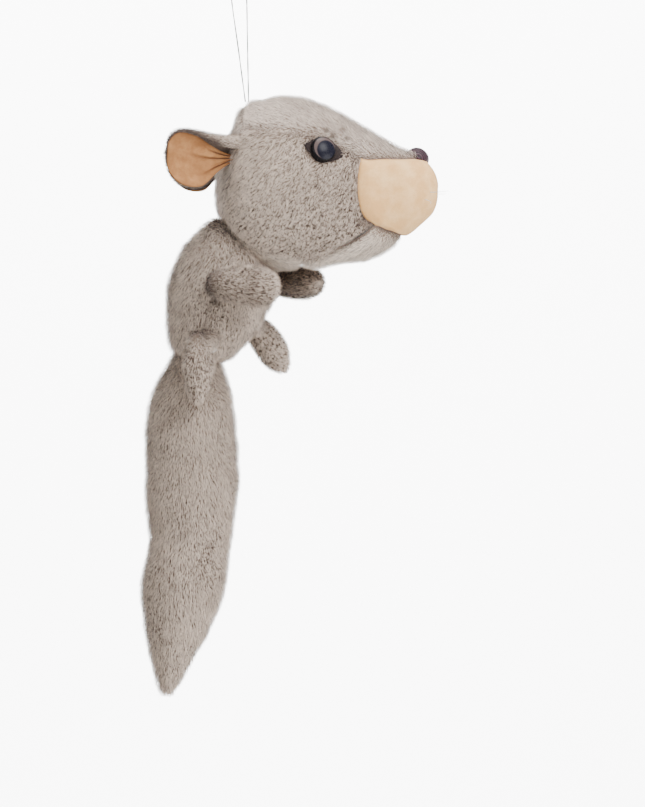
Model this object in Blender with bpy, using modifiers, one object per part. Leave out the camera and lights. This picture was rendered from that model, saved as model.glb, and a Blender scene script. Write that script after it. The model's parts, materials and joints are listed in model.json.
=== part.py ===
"""A stuffed plush mouse that hangs by a cord loop from the crown of its head.

The mouse faces +X and +Y is its left. The origin is the inside top of the cord loop, where a hook
would hold it. All sizes are in metres. Every sewn part is a set of fabric panels round a stuffing.
"""

import math

import bmesh
import bpy
import numpy as np
from mathutils import Matrix, Vector

# ---- Driving dimensions -------------------------------------------------------------------------
# Head, measured on the fabric and not on the tips of the fur
HEAD_LENGTH = 0.187
HEAD_HEIGHT = 0.144
HEAD_WIDTH = 0.122
HEAD_FULLNESS = 2.25  # exponent of the cross-section: 2 is an ellipse, more is squarer

# Torso
TORSO_DROP = 0.087
TORSO_DEPTH = 0.085
TORSO_WIDTH = 0.092
TORSO_YAW = math.radians(20)  # the body is turned on the neck, belly towards the toy's right

# Limbs
ARM_LENGTH = 0.059
ARM_WIDTH = 0.025
ARM_THICKNESS = 0.025
LEG_LENGTH = 0.059
LEG_WIDTH = 0.022
LEG_THICKNESS = 0.027
LIMB_STUB_RADIUS = 0.0045

# Tail
TAIL_LENGTH = 0.291
TAIL_RADIUS = 0.0375

# Ears
EAR_LENGTH = 0.053
EAR_HEIGHT = 0.046
EAR_CUP = 0.010

# Face
EYE_RADIUS = 0.0105
EYE_DOME = 0.0055
NOSE_RADIUS = 0.0085
NOSE_DOME = 0.0075
STEM_RADIUS = 0.0025
STEM_LENGTH = 0.012
WASHER_RADIUS = 0.0075
WASHER_THICKNESS = 0.0015
FELT_LENGTH = 0.034
FELT_HEIGHT = 0.021
FELT_THICKNESS = 0.001
FELT_LIFT = 0.0009
WHISKER_RADIUS = 0.00035

# Cord loop
CORD_DIAMETER = 0.0012
LOOP_HEIGHT = 0.0975  # from the inside top of the loop down to the strand ends
LOOP_LEAN = 0.0069  # how far the crown lies in front of the hook
HOOK_RADIUS = 0.006
STRAND_SPACING = 0.0027
KNOT_RADIUS = 0.003
KNOT_DEPTH = 0.0105  # its middle, below the crown

# Neck
NECK_RADIUS = 0.016

# Cloth, seams and clearances
FABRIC = 0.0018
VELOUR = 0.0012
SEAM_GAP = 0.0016
STUFFING_GAP = 0.0014
TOUCH_GAP = 0.0005
CORD_GAP = 0.0025
NECK_GAP = 0.0008
JOINT_GAP = 0.0009
LIMB_GAP = 0.0035
RIM_ANGLE = math.radians(50)  # where the socket of a tail joint ends

INSET = FABRIC + STUFFING_GAP
EAR_BACK_LIFT = -1.45 * (VELOUR + FABRIC + TOUCH_GAP)  # clear of the lining where the ear is steep

# ---- Shapes, as fractions of the sizes above ----------------------------------------------------
# Head outline in the middle plane: fraction of its length from the back, fraction of its height
HEAD_TOP = [(0, 0), (0.003, 0.11), (0.047, 0.28), (0.088, 0.40), (0.112, 0.485), (0.145, 0.52),
            (0.21, 0.53), (0.2925, 0.554), (0.4235, 0.535), (0.557, 0.465), (0.667, 0.377),
            (0.815, 0.265), (0.911, 0.21), (0.967, 0.142), (0.991, 0.083), (1, 0)]
HEAD_UNDER = [(0, 0), (0.003, -0.076), (0.0235, -0.163), (0.061, -0.269), (0.098, -0.346),
              (0.156, -0.398), (0.24, -0.437), (0.308, -0.445), (0.404, -0.43), (0.553, -0.389),
              (0.666, -0.366), (0.734, -0.333), (0.808, -0.276), (0.874, -0.233), (0.946, -0.156),
              (0.979, -0.108), (1, 0)]
HEAD_PLAN = [(0, 0), (0.004, 0.18), (0.02, 0.40), (0.06, 0.66), (0.13, 0.88), (0.22, 0.985),
             (0.32, 1.0), (0.44, 0.93), (0.55, 0.80), (0.65, 0.69), (0.74, 0.62), (0.83, 0.565),
             (0.90, 0.48), (0.955, 0.35), (0.985, 0.21), (1, 0)]
CROWN = 0.137  # where the cord loop leaves, along the head

# Seams of the head: fraction along the head, level from -1 (underside) to 1 (top)
FOREHEAD_SEAM = [(0, 0.70), (0.12, 0.66), (0.24, 0.62), (0.40, 0.58), (0.48, 0.60), (0.575, 0.56),
                 (0.655, 0.51), (0.77, 0.69), (0.86, 0.85), (0.91, 0.93), (0.945, 1.0), (1, 1.0)]
JAW_SEAM = [(0, -0.82), (0.06, -0.86), (0.13, -0.89), (0.24, -0.92), (0.34, -0.96), (0.40, -0.975),
            (0.49, -0.94), (0.57, -0.878), (0.67, -0.71), (0.72, -0.61), (0.785, -0.80),
            (0.86, -1.0), (1, -1.0)]
CHIN_START = 0.38
CHIN_END = 0.848
FOREHEAD_END = 0.932
MUZZLE_END = 0.994
BACK_TRIM = 0.935  # the back-of-head panel stops this far out, for its seam
# Edge of the back-of-head panel: turn from the top in degrees, fraction along the head
BACK_EDGE = [(0, CROWN), (50, 0.115), (90, 0.06), (130, 0.038), (180, 0.028)]
# Rear edge of the muzzle patch: share of the way from the forehead seam to the jaw seam, fraction
MUZZLE_EDGE = [(0, 0.655), (0.2, 0.642), (0.5, 0.642), (0.75, 0.665), (1, 0.722)]

NECK_ALONG = 0.095  # where the neck leaves the underside of the head
EYE_PLACE = (0.478, 0.40)  # fraction along the head, level
NOSE_ALONG = 0.915
WHISKERS = [((0.958, -0.08), (0.62, 0.78, 0.02), 0.026), ((0.935, -0.30), (0.22, 0.95, -0.20), 0.024)]

# Torso stations: fractions of the torso's drop backwards and downwards from the neck, half depth
# and half width as shares of the full ones, lean of the section in degrees
TORSO_STATIONS = [(0.07, 0.10, 0.80, 0.80, 44), (0.125, 0.285, 1.0, 1.0, 19),
                  (0.21, 0.53, 0.935, 1.0, 9), (0.275, 0.765, 0.78, 0.84, 9),
                  (0.345, 0.90, 0.53, 0.56, 8)]
TORSO_SETBACK = 0.40  # of the drop: how far the tail joint lies behind the neck
STUFFING_START = 0.05
NECK_SLOPE = 0.24  # how fast the top of the torso falls away from the head
BELLY_HALF_TURN = math.radians(77)
SHOULDERS = {"right": (0.030, 0.033), "left": (0.030, 0.026)}  # ahead of and below the neck's level
HIPS = {"right": (0.009, 0.083), "left": (0.0160, 0.0680)}  # the left leg is sewn on a little higher
ARM_TOE_IN = math.radians(13)
ARM_DROOP = {"right": math.radians(4), "left": math.radians(2)}
LEFT_LEG_SPLAY = math.radians(45)
LEFT_LEG_LIFT = math.radians(20)

# Limb outlines: fraction along, share of the half width
ARM_OUTLINE = [(0, 0), (0.03, 0.42), (0.10, 0.66), (0.25, 0.84), (0.5, 0.95), (0.72, 1.0),
               (0.88, 0.82), (0.965, 0.5), (1, 0)]
LEG_OUTLINE = [(0, 0), (0.03, 0.36), (0.12, 0.66), (0.3, 0.90), (0.5, 1.0), (0.7, 0.93),
               (0.88, 0.62), (0.97, 0.30), (1, 0)]

# Tail: fraction of its length, share of its radius; and its spine's drift backwards, of its length
TAIL_OUTLINE = [(0, 0.43), (0.034, 0.52), (0.096, 0.77), (0.155, 0.93), (0.22, 0.985), (0.335, 1.0),
                (0.45, 0.965), (0.555, 0.875), (0.665, 0.905), (0.76, 0.775), (0.815, 0.665),
                (0.90, 0.40), (0.968, 0.165), (1, 0)]
TAIL_DRIFT = [(0, 0), (0.1, 0.012), (0.22, 0.018), (0.335, 0.014), (0.45, 0.018), (0.555, 0.022),
              (0.665, 0.040), (0.76, 0.051), (0.9, 0.075), (1, 0.09)]
TAIL_JOINTS = (0.0, 0.305, 0.60)

# Ear outline, as shares of its length and height: the root, the upper, the free and the lower edge
EAR_ROOT = [(0.0, -0.42), (0.02, -0.1), (0.03, 0.2), (0.0, 0.42)]
EAR_UPPER = [(0.0, 0.42), (0.3, 0.47), (0.6, 0.52), (0.84, 0.50)]
EAR_FREE = [(0.84, -0.40), (0.965, -0.25), (1.0, 0.05), (0.97, 0.33), (0.84, 0.50)]
EAR_LOWER = [(0.0, -0.42), (0.2, -0.50), (0.5, -0.60), (0.84, -0.40)]
EAR_PLACE = (60, 0.075)  # turn from the top in degrees and fraction along the head, at the root's middle
EAR_SPREAD = math.radians(20)  # how far the ear opens outwards from straight back
EAR_TILT = math.radians(8)

Z_AXIS = Vector((0, 0, 1))


# ---- Small tools --------------------------------------------------------------------------------
def mix(low, high, share):
    return low + (high - low) * share


def smooth_through(points, steps=12):
    """Many points on a centripetal Catmull-Rom curve through the given ones."""
    pts = [np.array(p, float) for p in points]
    pts = [2 * pts[0] - pts[1], *pts, 2 * pts[-1] - pts[-2]]
    found = []
    for a, b, c, d in zip(pts, pts[1:], pts[2:], pts[3:]):
        t1 = np.linalg.norm(b - a) ** 0.5
        t2 = t1 + np.linalg.norm(c - b) ** 0.5
        t3 = t2 + np.linalg.norm(d - c) ** 0.5
        for t in np.linspace(t1, t2, steps, endpoint=False):
            ab = mix(a, b, t / t1)
            bc = mix(b, c, (t - t1) / (t2 - t1))
            cd = mix(c, d, (t - t2) / (t3 - t2))
            found.append(mix(mix(ab, bc, t / t2), mix(bc, cd, (t - t1) / (t3 - t1)), (t - t1) / (t2 - t1)))
    found.append(pts[-2])
    return np.array(found)


class Curve:
    """A smooth value that depends on a fraction."""

    def __init__(self, points):
        dense = smooth_through(points)
        order = np.maximum.accumulate(dense[:, 0])
        self.at, self.value = order, dense[:, 1]

    def __call__(self, fraction):
        return float(np.interp(fraction, self.at, self.value))


def collection(name):
    found = bpy.data.collections.new(name)
    bpy.context.scene.collection.children.link(found)
    return found


def material(name, colour, roughness, metallic=0.0):
    found = bpy.data.materials.new(name)
    found.use_nodes = True
    shader = found.node_tree.nodes["Principled BSDF"]
    shader.inputs["Base Color"].default_value = (*colour, 1.0)
    shader.inputs["Roughness"].default_value = roughness
    shader.inputs["Metallic"].default_value = metallic
    return found


def add_object(name, bm, finish=None, group=None, origin=None):
    """A mesh object whose origin is moved to the given point."""
    if origin is not None:
        bm.transform(Matrix.Translation(-origin))
    mesh = bpy.data.meshes.new(name)
    bm.to_mesh(mesh)
    bm.free()
    mesh.shade_smooth()
    obj = bpy.data.objects.new(name, mesh)
    (group or PARTS).objects.link(obj)
    if finish is not None:
        mesh.materials.append(finish)
    if origin is not None:
        obj.location = origin
    return obj


def cutter(name, bm):
    obj = add_object(name, bm, group=CUTTERS)
    obj.hide_render = True
    obj.display_type = "WIRE"
    return obj


def cut(obj, tool, operation="DIFFERENCE"):
    mod = obj.modifiers.new(tool.name, "BOOLEAN")
    mod.operation = operation
    mod.object = tool
    mod.solver = "EXACT"


def ringed_form(rings, sides, inset=0.0, within=(0, 0)):
    """A closed form through rings, each a centre and two half axes; the first and last are points.

    The rings whose numbers lie within the given pair are moved inwards along the surface's normals.
    """
    bm = bmesh.new()
    bmesh.ops.create_uvsphere(bm, u_segments=sides, v_segments=len(rings) - 1, radius=1.0)
    moved = []
    for vert in bm.verts:
        place = math.acos(max(-1.0, min(1.0, vert.co.z))) / math.pi * (len(rings) - 1)
        centre, first, second = rings[round(place)]
        turn = math.atan2(vert.co.y, vert.co.x)
        vert.co = centre + first * math.cos(turn) + second * math.sin(turn)
        if within[0] <= round(place) < within[1]:
            moved.append(vert)
    bmesh.ops.recalc_face_normals(bm, faces=bm.faces)
    bm.normal_update()
    for vert, place in [(vert, vert.co - vert.normal * inset) for vert in moved]:
        vert.co = place
    return bm


def shrink(bm, distance):
    """Moves a closed form's surface inwards."""
    bm.normal_update()
    moved = [(vert, vert.co - vert.normal * distance) for vert in bm.verts]
    for vert, place in moved:
        vert.co = place
    return bm


def panel(name, place, cells, finish, inside, thickness=FABRIC, origin=None, trim=SEAM_GAP / 2):
    """A piece of cloth: a grid laid on a surface, trimmed for the seam and thickened inwards."""
    across, down = cells
    grid = [[place(u / across, v / down) for v in range(down + 1)] for u in range(across + 1)]
    trimmed = [[point.copy() for point in row] for row in grid]
    for u in range(across + 1):
        for v in range(down + 1):
            for step_u, step_v, edge in ((1, 0, u == 0), (-1, 0, u == across), (0, 1, v == 0), (0, -1, v == down)):
                if edge:
                    inward = grid[u + step_u][v + step_v] - grid[u][v]
                    trimmed[u][v] += inward.normalized() * min(trim, inward.length / 3)
    bm = bmesh.new()
    bmesh.ops.create_grid(bm, x_segments=across, y_segments=down, size=1.0)
    for vert in bm.verts:
        vert.co = trimmed[round((vert.co.x + 1) / 2 * across)][round((vert.co.y + 1) / 2 * down)]
    bm.normal_update()
    facing = sum(face.normal.dot(face.calc_center_median() - inside) * face.calc_area() for face in bm.faces)
    if facing < 0:
        bmesh.ops.reverse_faces(bm, faces=bm.faces)
    obj = add_object(name, bm, finish, origin=origin)
    solid = obj.modifiers.new("cloth", "SOLIDIFY")
    solid.thickness = thickness
    solid.offset = -1.0
    return obj


def turned(name, profile, steps, finish, matrix):
    """A turned piece from a profile of radius and height, top to bottom, set up by a matrix."""
    bm = bmesh.new()
    verts = [bm.verts.new((radius, 0.0, height)) for radius, height in profile]
    for a, b in zip(verts, verts[1:]):
        bm.edges.new((a, b))
    group = PARTS if finish is not None else CUTTERS
    obj = add_object(name, bm, finish, group)
    screw = obj.modifiers.new("turn", "SCREW")
    screw.steps = screw.render_steps = steps
    screw.use_merge_vertices = True
    screw.merge_threshold = 0.00001
    obj.matrix_world = matrix
    if finish is None:
        obj.hide_render = True
        obj.display_type = "WIRE"
    return obj


def tube(name, points, radius, finish, sides=2):
    """A closed tube along the given points."""
    curve = bpy.data.curves.new(name, "CURVE")
    curve.dimensions = "3D"
    curve.bevel_depth = radius
    curve.bevel_resolution = sides
    curve.use_fill_caps = True
    spline = curve.splines.new("POLY")
    spline.points.add(len(points) - 1)
    for knot, point in zip(spline.points, points):
        knot.co = (*point, 1.0)
    curve.materials.append(finish)
    obj = bpy.data.objects.new(name, curve)
    PARTS.objects.link(obj)
    return obj


def sphere(centre, radius, segments=20, rings=12):
    bm = bmesh.new()
    bmesh.ops.create_uvsphere(bm, u_segments=segments, v_segments=rings, radius=radius)
    bm.transform(Matrix.Translation(centre))
    return bm


# ---- Start from an empty scene ------------------------------------------------------------------
for old in list(bpy.data.objects):
    bpy.data.objects.remove(old, do_unlink=True)
PARTS = collection("plush_mouse")
CUTTERS = collection("cutters")

FUR = material("grey_beige_fur", (0.40, 0.33, 0.29), 0.95)
PALE_FUR = material("pale_fur", (0.58, 0.50, 0.43), 0.95)
BEIGE_VELOUR = material("beige_velour", (0.72, 0.50, 0.30), 0.9)
STUFFING = material("polyester_stuffing", (0.86, 0.85, 0.82), 1.0)
SATIN = material("maroon_satin", (0.045, 0.018, 0.028), 0.35)
EYE_PLASTIC = material("black_eye_plastic", (0.012, 0.012, 0.018), 0.12)
FELT = material("dark_felt", (0.03, 0.022, 0.02), 1.0)
WASHER_PLASTIC = material("white_washer_plastic", (0.75, 0.75, 0.72), 0.5)
NYLON = material("clear_nylon", (0.80, 0.78, 0.72), 0.3)
CORD = material("dark_cord", (0.05, 0.05, 0.05), 0.8)


# ---- Head ---------------------------------------------------------------------------------------
head_top, head_under, head_plan = Curve(HEAD_TOP), Curve(HEAD_UNDER), Curve(HEAD_PLAN)
CROWN_POINT = Vector((LOOP_LEAN, 0, -LOOP_HEIGHT - CORD_GAP))
HEAD_BACK = CROWN_POINT - Vector((CROWN * HEAD_LENGTH, 0, head_top(CROWN) * HEAD_HEIGHT))


def head_section(along):
    """Height of the middle, half height and half width of the head's section."""
    top, under = head_top(along) * HEAD_HEIGHT, head_under(along) * HEAD_HEIGHT
    return (top + under) / 2, (top - under) / 2, head_plan(along) * HEAD_WIDTH / 2


def head_point(along, turn):
    """A point on the head's cloth; turn runs from the top, positive to the mouse's left."""
    middle, half_height, half_width = head_section(along)
    up, side = math.cos(turn), math.sin(turn)
    reach = ((abs(up) / max(half_height, 1e-6)) ** HEAD_FULLNESS
             + (abs(side) / max(half_width, 1e-6)) ** HEAD_FULLNESS) ** (-1 / HEAD_FULLNESS)
    return HEAD_BACK + Vector((along * HEAD_LENGTH, reach * side, middle + reach * up))


def turn_at(along, level):
    """The turn at which the head's section reaches a level between -1 and 1."""
    _, half_height, half_width = head_section(along)
    level = max(-1.0, min(1.0, level))
    side = half_width * (1 - abs(level) ** HEAD_FULLNESS) ** (1 / HEAD_FULLNESS)
    return math.atan2(side, level * half_height)


def head_frame(along, turn, lift):
    """A matrix on the head's surface: Z along the normal, X towards the muzzle, raised by lift."""
    step = 0.004
    ahead = head_point(along + step, turn) - head_point(along - step, turn)
    round_ = head_point(along, turn + step) - head_point(along, turn - step)
    normal = ahead.cross(round_).normalized()
    if normal.dot(head_point(along, turn) - HEAD_MIDDLE) < 0:
        normal.negate()
    forward = (ahead - normal * ahead.dot(normal)).normalized()
    matrix = Matrix((forward, normal.cross(forward), normal)).transposed().to_4x4()
    matrix.translation = head_point(along, turn) + normal * lift
    return matrix


HEAD_MIDDLE = HEAD_BACK + Vector((HEAD_LENGTH * 0.4, 0, 0))
forehead_level, jaw_level = Curve(FOREHEAD_SEAM), Curve(JAW_SEAM)
back_edge_of, muzzle_edge_of = Curve(BACK_EDGE), Curve(MUZZLE_EDGE)


def forehead_turn(along):
    return turn_at(along, forehead_level(along))


def jaw_turn(along):
    return turn_at(along, jaw_level(along))


def far_jaw_turn(along):
    return 2 * math.pi - jaw_turn(along)


def back_edge(low_turn, high_turn, share):
    """Where the back-of-head panel ends, at a share of the way between two seams."""
    along = 0.08
    for _ in range(6):
        turn = mix(low_turn(along), high_turn(along), share)
        degrees = math.degrees(abs(turn))
        along = back_edge_of(min(degrees, 360 - degrees))
    return along


def build_head_panels():
    def forehead(u, v):
        start = back_edge(lambda a: -forehead_turn(a), forehead_turn, v)
        along = mix(start, FOREHEAD_END, u)
        return head_point(along, mix(-forehead_turn(along), forehead_turn(along), v))

    def underside(first, last):
        def place(u, v):
            start = back_edge(jaw_turn, far_jaw_turn, v) if first is None else first
            along = mix(start, last, u)
            return head_point(along, mix(jaw_turn(along), far_jaw_turn(along), v))
        return place

    def back(u, v):
        x, y = disc(u, v, BACK_TRIM)
        turn = math.atan2(y, x)
        edge = math.acos(1 - 2 * back_edge_of(abs(math.degrees(turn))))
        return head_point((1 - math.cos(edge * math.hypot(x, y))) / 2, turn)

    def side_of(sign):
        def cheek(u, v):
            along = mix(back_edge(forehead_turn, jaw_turn, v), muzzle_edge_of(v), u)
            return head_point(along, sign * mix(forehead_turn(along), jaw_turn(along), v))

        def muzzle(u, v):
            along = mix(muzzle_edge_of(v), MUZZLE_END, 1 - (1 - u) ** 1.5)
            return head_point(along, sign * mix(forehead_turn(along), jaw_turn(along), v))
        return cheek, muzzle

    panel("head_forehead_panel", forehead, (11, 6), FUR, HEAD_MIDDLE)
    panel("head_back_panel", back, (8, 8), FUR, HEAD_MIDDLE, trim=0.0)
    neck_strip = panel("head_neck_strip", underside(None, CHIN_START), (7, 4), PALE_FUR, HEAD_MIDDLE)
    panel("chin_panel", underside(CHIN_START, CHIN_END), (8, 5), PALE_FUR, HEAD_MIDDLE)
    for side, sign in (("right", -1), ("left", 1)):
        cheek, muzzle = side_of(sign)
        panel(f"head_cheek_panel_{side}", cheek, (9, 7), FUR, HEAD_MIDDLE)
        panel(f"muzzle_patch_{side}", muzzle, (6, 6), BEIGE_VELOUR, HEAD_MIDDLE, VELOUR)
    cut(neck_strip, bpy.data.objects["neck_pocket"])


def build_head_stuffing():
    rings = []
    count = 13
    for index in range(count + 1):
        along = (1 - math.cos(math.pi * index / count)) / 2
        middle, half_height, half_width = head_section(along)
        rings.append((along, middle, half_height, half_width))
    sides = 20
    bm = bmesh.new()
    bmesh.ops.create_uvsphere(bm, u_segments=sides, v_segments=count, radius=1.0)
    for vert in bm.verts:
        index = round(math.acos(max(-1.0, min(1.0, vert.co.z))) / math.pi * count)
        vert.co = head_point(rings[index][0], math.atan2(vert.co.y, vert.co.x))
    bmesh.ops.recalc_face_normals(bm, faces=bm.faces)
    stuffing = add_object("head_stuffing", shrink(bm, INSET + 0.0022), STUFFING)
    for tool in ("neck_pocket", "eye_pocket_right", "eye_pocket_left", "nose_pocket", "knot_pocket"):
        cut(stuffing, bpy.data.objects[tool])


def stemmed(radius, dome, stem):
    """Profile of a domed button with a stem below it."""
    arc = [(radius * math.cos(a), dome * math.sin(a)) for a in (math.radians(d) for d in (90, 72, 54, 36, 18, 0))]
    arc[0] = (0.0, dome)
    return [*arc, (radius, -0.0006), (STEM_RADIUS, -0.0006), (STEM_RADIUS, -stem), (0.0, -stem)]


def ring_profile(inner, outer, thickness):
    return [(inner, 0.0), (outer, 0.0), (outer, -thickness), (inner, -thickness), (inner, 0.0)]


def pocket_profile(depth):
    wide = WASHER_RADIUS + 0.002
    narrow = STEM_RADIUS + 0.001
    floor = -(FABRIC + 0.006)
    return [(0.0, 0.004), (wide, 0.004), (wide, floor), (narrow, floor), (narrow, -depth), (0.0, -depth)]


def hole_profile():
    radius = STEM_RADIUS + TOUCH_GAP
    return [(0.0, 0.006), (radius, 0.006), (radius, -0.008), (0.0, -0.008)]


def build_buttons():
    """Eyes on their felts and the nose, each with a stem, a washer and the pocket it sits in."""
    along, level = EYE_PLACE
    lift = FELT_LIFT
    places = [("right", -turn_at(along, level)), ("left", turn_at(along, level))]
    for side, turn in places:
        stem = STEM_LENGTH + lift + FELT_THICKNESS
        turned(f"eye_pocket_{side}", pocket_profile(STEM_LENGTH + 0.002), 16, None, head_frame(along, turn, 0))
        hole = turned(f"eye_hole_{side}", hole_profile(), 12, None, head_frame(along, turn, 0))
        eye_base = head_frame(along, turn, lift + FELT_THICKNESS + TOUCH_GAP + 0.0006)
        turned(f"eye_{side}", stemmed(EYE_RADIUS, EYE_DOME, stem), 16, EYE_PLASTIC, eye_base)
        washer = head_frame(along, turn, -FABRIC - 0.0012)
        turned(f"eye_washer_{side}", ring_profile(STEM_RADIUS + TOUCH_GAP, WASHER_RADIUS, WASHER_THICKNESS),
               14, WASHER_PLASTIC, washer)
        felt = eye_felt(side, math.copysign(1, turn), head_frame(along, turn, 0))
        cut(felt, hole)
        cut(bpy.data.objects[f"head_cheek_panel_{side}"], hole)
    nose_turn = 0.0
    turned("nose_pocket", pocket_profile(STEM_LENGTH + 0.002), 16, None, head_frame(NOSE_ALONG, nose_turn, 0))
    hole = turned("nose_hole", hole_profile(), 12, None, head_frame(NOSE_ALONG, nose_turn, 0))
    seat = head_frame(NOSE_ALONG, nose_turn, lift + 0.0008)
    turned("nose", stemmed(NOSE_RADIUS, NOSE_DOME, STEM_LENGTH), 16, SATIN, seat)
    turned("nose_washer", ring_profile(STEM_RADIUS + TOUCH_GAP, WASHER_RADIUS, WASHER_THICKNESS), 14,
           WASHER_PLASTIC, head_frame(NOSE_ALONG, nose_turn, -FABRIC - 0.0026))
    cut(bpy.data.objects["head_forehead_panel"], hole)


def on_head(x, z, side, lift):
    """The point on the head's cloth at this X and Z, on one side, raised by lift."""
    along = (x - HEAD_BACK.x) / HEAD_LENGTH
    middle, half_height, _ = head_section(along)
    turn = turn_at(along, (z - HEAD_BACK.z - middle) / half_height)
    return head_frame(along, side * turn, lift).translation


def disc(u, v, size=1.0):
    """A point of the unit disc for a point of the unit square."""
    a, b = size * (2 * u - 1), size * (2 * v - 1)
    return a * math.sqrt(1 - b * b / 2), b * math.sqrt(1 - a * a / 2)


def eye_felt(name, side, base):
    """An almond of felt that lies on the cheek behind the eye, its long axis towards the muzzle."""
    def place(u, v):
        x, y = disc(u, v)
        narrow = 1 - 0.35 * abs(x) ** 1.5
        flat = base @ Vector((x * FELT_LENGTH / 2, y * narrow * FELT_HEIGHT / 2, 0))
        return on_head(flat.x, flat.z, side, FELT_LIFT + FELT_THICKNESS)

    return panel(f"eye_felt_{name}", place, (6, 6), FELT, HEAD_MIDDLE, FELT_THICKNESS, trim=0.0)


def build_whiskers():
    for side, sign in (("right", -1), ("left", 1)):
        for number, ((along, level), (ahead, out, up), length) in enumerate(WHISKERS, 1):
            root = head_frame(along, sign * turn_at(along, level), 0.0006)
            start = root.translation
            aim = Vector((ahead, sign * out, up)).normalized()
            first = root.col[2].to_3d()
            points = []
            for index in range(7):
                share = index / 6
                points.append(start + (first * (1 - share) + aim * share).normalized() * length * share)
            tube(f"whisker_{side}_{number}", points, WHISKER_RADIUS, NYLON, 1)


# ---- Cord loop ----------------------------------------------------------------------------------
def build_loop():
    """Two strands from the crown, over a hook at the origin; its axis lies on the middle of the cord."""
    radius = HOOK_RADIUS + CORD_DIAMETER / 2
    bottom = -LOOP_HEIGHT
    hook = Vector((0, 0, -HOOK_RADIUS))
    route = [Vector((LOOP_LEAN - STRAND_SPACING / 2, 0, bottom))]
    route.append(mix(route[0], hook + Vector((-radius, 0, 0)), 0.5))
    for degrees in range(185, -6, -19):
        turn = math.radians(degrees)
        route.append(hook + Vector((math.cos(turn), 0, math.sin(turn))) * radius)
    last = Vector((LOOP_LEAN + STRAND_SPACING / 2, 0, bottom))
    route.append(mix(route[-1], last, 0.5))
    route.append(last)
    fine = smooth_through([tuple(point) for point in route], 3)
    tube("hang_loop", [Vector(point) for point in fine], CORD_DIAMETER / 2, CORD)
    knot = CROWN_POINT - Vector((0, 0, KNOT_DEPTH))
    add_object("loop_knot", sphere(knot, KNOT_RADIUS, 12, 8), CORD)
    cutter("knot_pocket", sphere(knot, KNOT_RADIUS + STUFFING_GAP, 12, 8))


# ---- Neck ---------------------------------------------------------------------------------------
neck_matrix = head_frame(NECK_ALONG, math.pi, 0)
NECK = neck_matrix.translation.copy()
NECK_AXIS = neck_matrix.col[2].to_3d()


def build_neck():
    add_object("neck_stuffing", sphere(Vector((0, 0, 0)), NECK_RADIUS), STUFFING).location = NECK
    cutter("neck_pocket", sphere(NECK, NECK_RADIUS + NECK_GAP))


# ---- Torso --------------------------------------------------------------------------------------
FORWARD = Vector((math.cos(TORSO_YAW), -math.sin(TORSO_YAW), 0))
LEFT = Vector((math.sin(TORSO_YAW), math.cos(TORSO_YAW), 0))
TAIL_ROOT = NECK + Vector((-TORSO_SETBACK, 0, -1)) * TORSO_DROP
TORSO_MIDDLE = NECK + Vector((-0.2, 0, -0.45)) * TORSO_DROP


def torso_stations():
    found = []
    for back, down, depth, width, lean in TORSO_STATIONS:
        centre = NECK + Vector((-back, 0, -down)) * TORSO_DROP
        found.append((centre.x, centre.z, depth * TORSO_DEPTH / 2, width * TORSO_WIDTH / 2, math.radians(lean)))
    return found


def torso_ring(share):
    """Centre and half axes of the torso's section at a share of the way from neck to tail."""
    table = TORSO_TABLE
    place = np.linspace(0, 1, len(table))
    x, z, depth, width, lean = (float(np.interp(share, place, column)) for column in table.T)
    forward = Vector((math.cos(lean), 0, -math.sin(lean)))
    return Vector((x, 0, z)), forward * depth, Vector((0, width, 0))


def torso_point(share, turn):
    centre, first, second = torso_ring(share)
    return centre + first * math.cos(turn) + second * math.sin(turn)


TORSO_TABLE = smooth_through(torso_stations())


def build_torso():
    belly_start = -TORSO_YAW - BELLY_HALF_TURN
    belly_end = -TORSO_YAW + BELLY_HALF_TURN
    spine = math.pi - TORSO_YAW
    seams = {"belly_panel": (belly_start, belly_end), "back_panel_left": (belly_end, spine),
             "back_panel_right": (spine, belly_start + 2 * math.pi)}
    for name, (start, end) in seams.items():
        finish = PALE_FUR if name == "belly_panel" else FUR
        panel(name, lambda u, v: torso_point(mix(0.04, 1, u), mix(start, end, v)), (8, 7), finish, TORSO_MIDDLE)
    rings = [(NECK + NECK_AXIS * 0.0016, Vector(), Vector())]
    lean = math.atan2(-NECK_AXIS.x, -NECK_AXIS.z)
    across = Vector((math.cos(lean), 0, -math.sin(lean)))
    for radius in (0.009, 0.016, 0.020):
        centre = NECK + NECK_AXIS * (0.0022 + NECK_SLOPE * radius)
        rings.append((centre, across * radius, Vector((0, radius, 0))))
    for index in range(9):
        centre, first, second = torso_ring(mix(STUFFING_START, 1, index / 8))
        rings.append((centre, first, second))
    within = (len(rings) - 9, len(rings))
    rings += socket(TAIL_ROOT, tail_ball(0))
    stuffing = add_object("torso_stuffing", ringed_form(rings, 22, INSET + 0.001, within), STUFFING)
    cut(stuffing, bpy.data.objects["neck_pocket"])


# ---- Tail ---------------------------------------------------------------------------------------
tail_outline, tail_drift = Curve(TAIL_OUTLINE), Curve(TAIL_DRIFT)


def tail_centre(share):
    return TAIL_ROOT + Vector((-tail_drift(share), 0, -share)) * TAIL_LENGTH


def tail_radius(share):
    return tail_outline(share) * TAIL_RADIUS


def tail_point(share, turn):
    return tail_centre(share) + Vector((math.cos(turn), math.sin(turn), 0)) * tail_radius(share)


def tail_ball(joint):
    """Radius of the stuffing's round end at a tail joint."""
    return tail_radius(TAIL_JOINTS[joint]) - INSET


def flat_ring(centre, radius):
    return centre, Vector((radius, 0, 0)), Vector((0, radius, 0))


def socket(pivot, ball, wall=None):
    """Rings from a socket's rim to its floor, round the ball that turns in it."""
    radius = ball + JOINT_GAP
    rings = []
    for degrees in (50, 38, 26, 13):
        turn = math.radians(degrees)
        rings.append(flat_ring(pivot + Z_AXIS * radius * math.cos(turn), radius * math.sin(turn)))
    rings.append((pivot + Z_AXIS * radius, Vector(), Vector()))
    return rings


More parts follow.
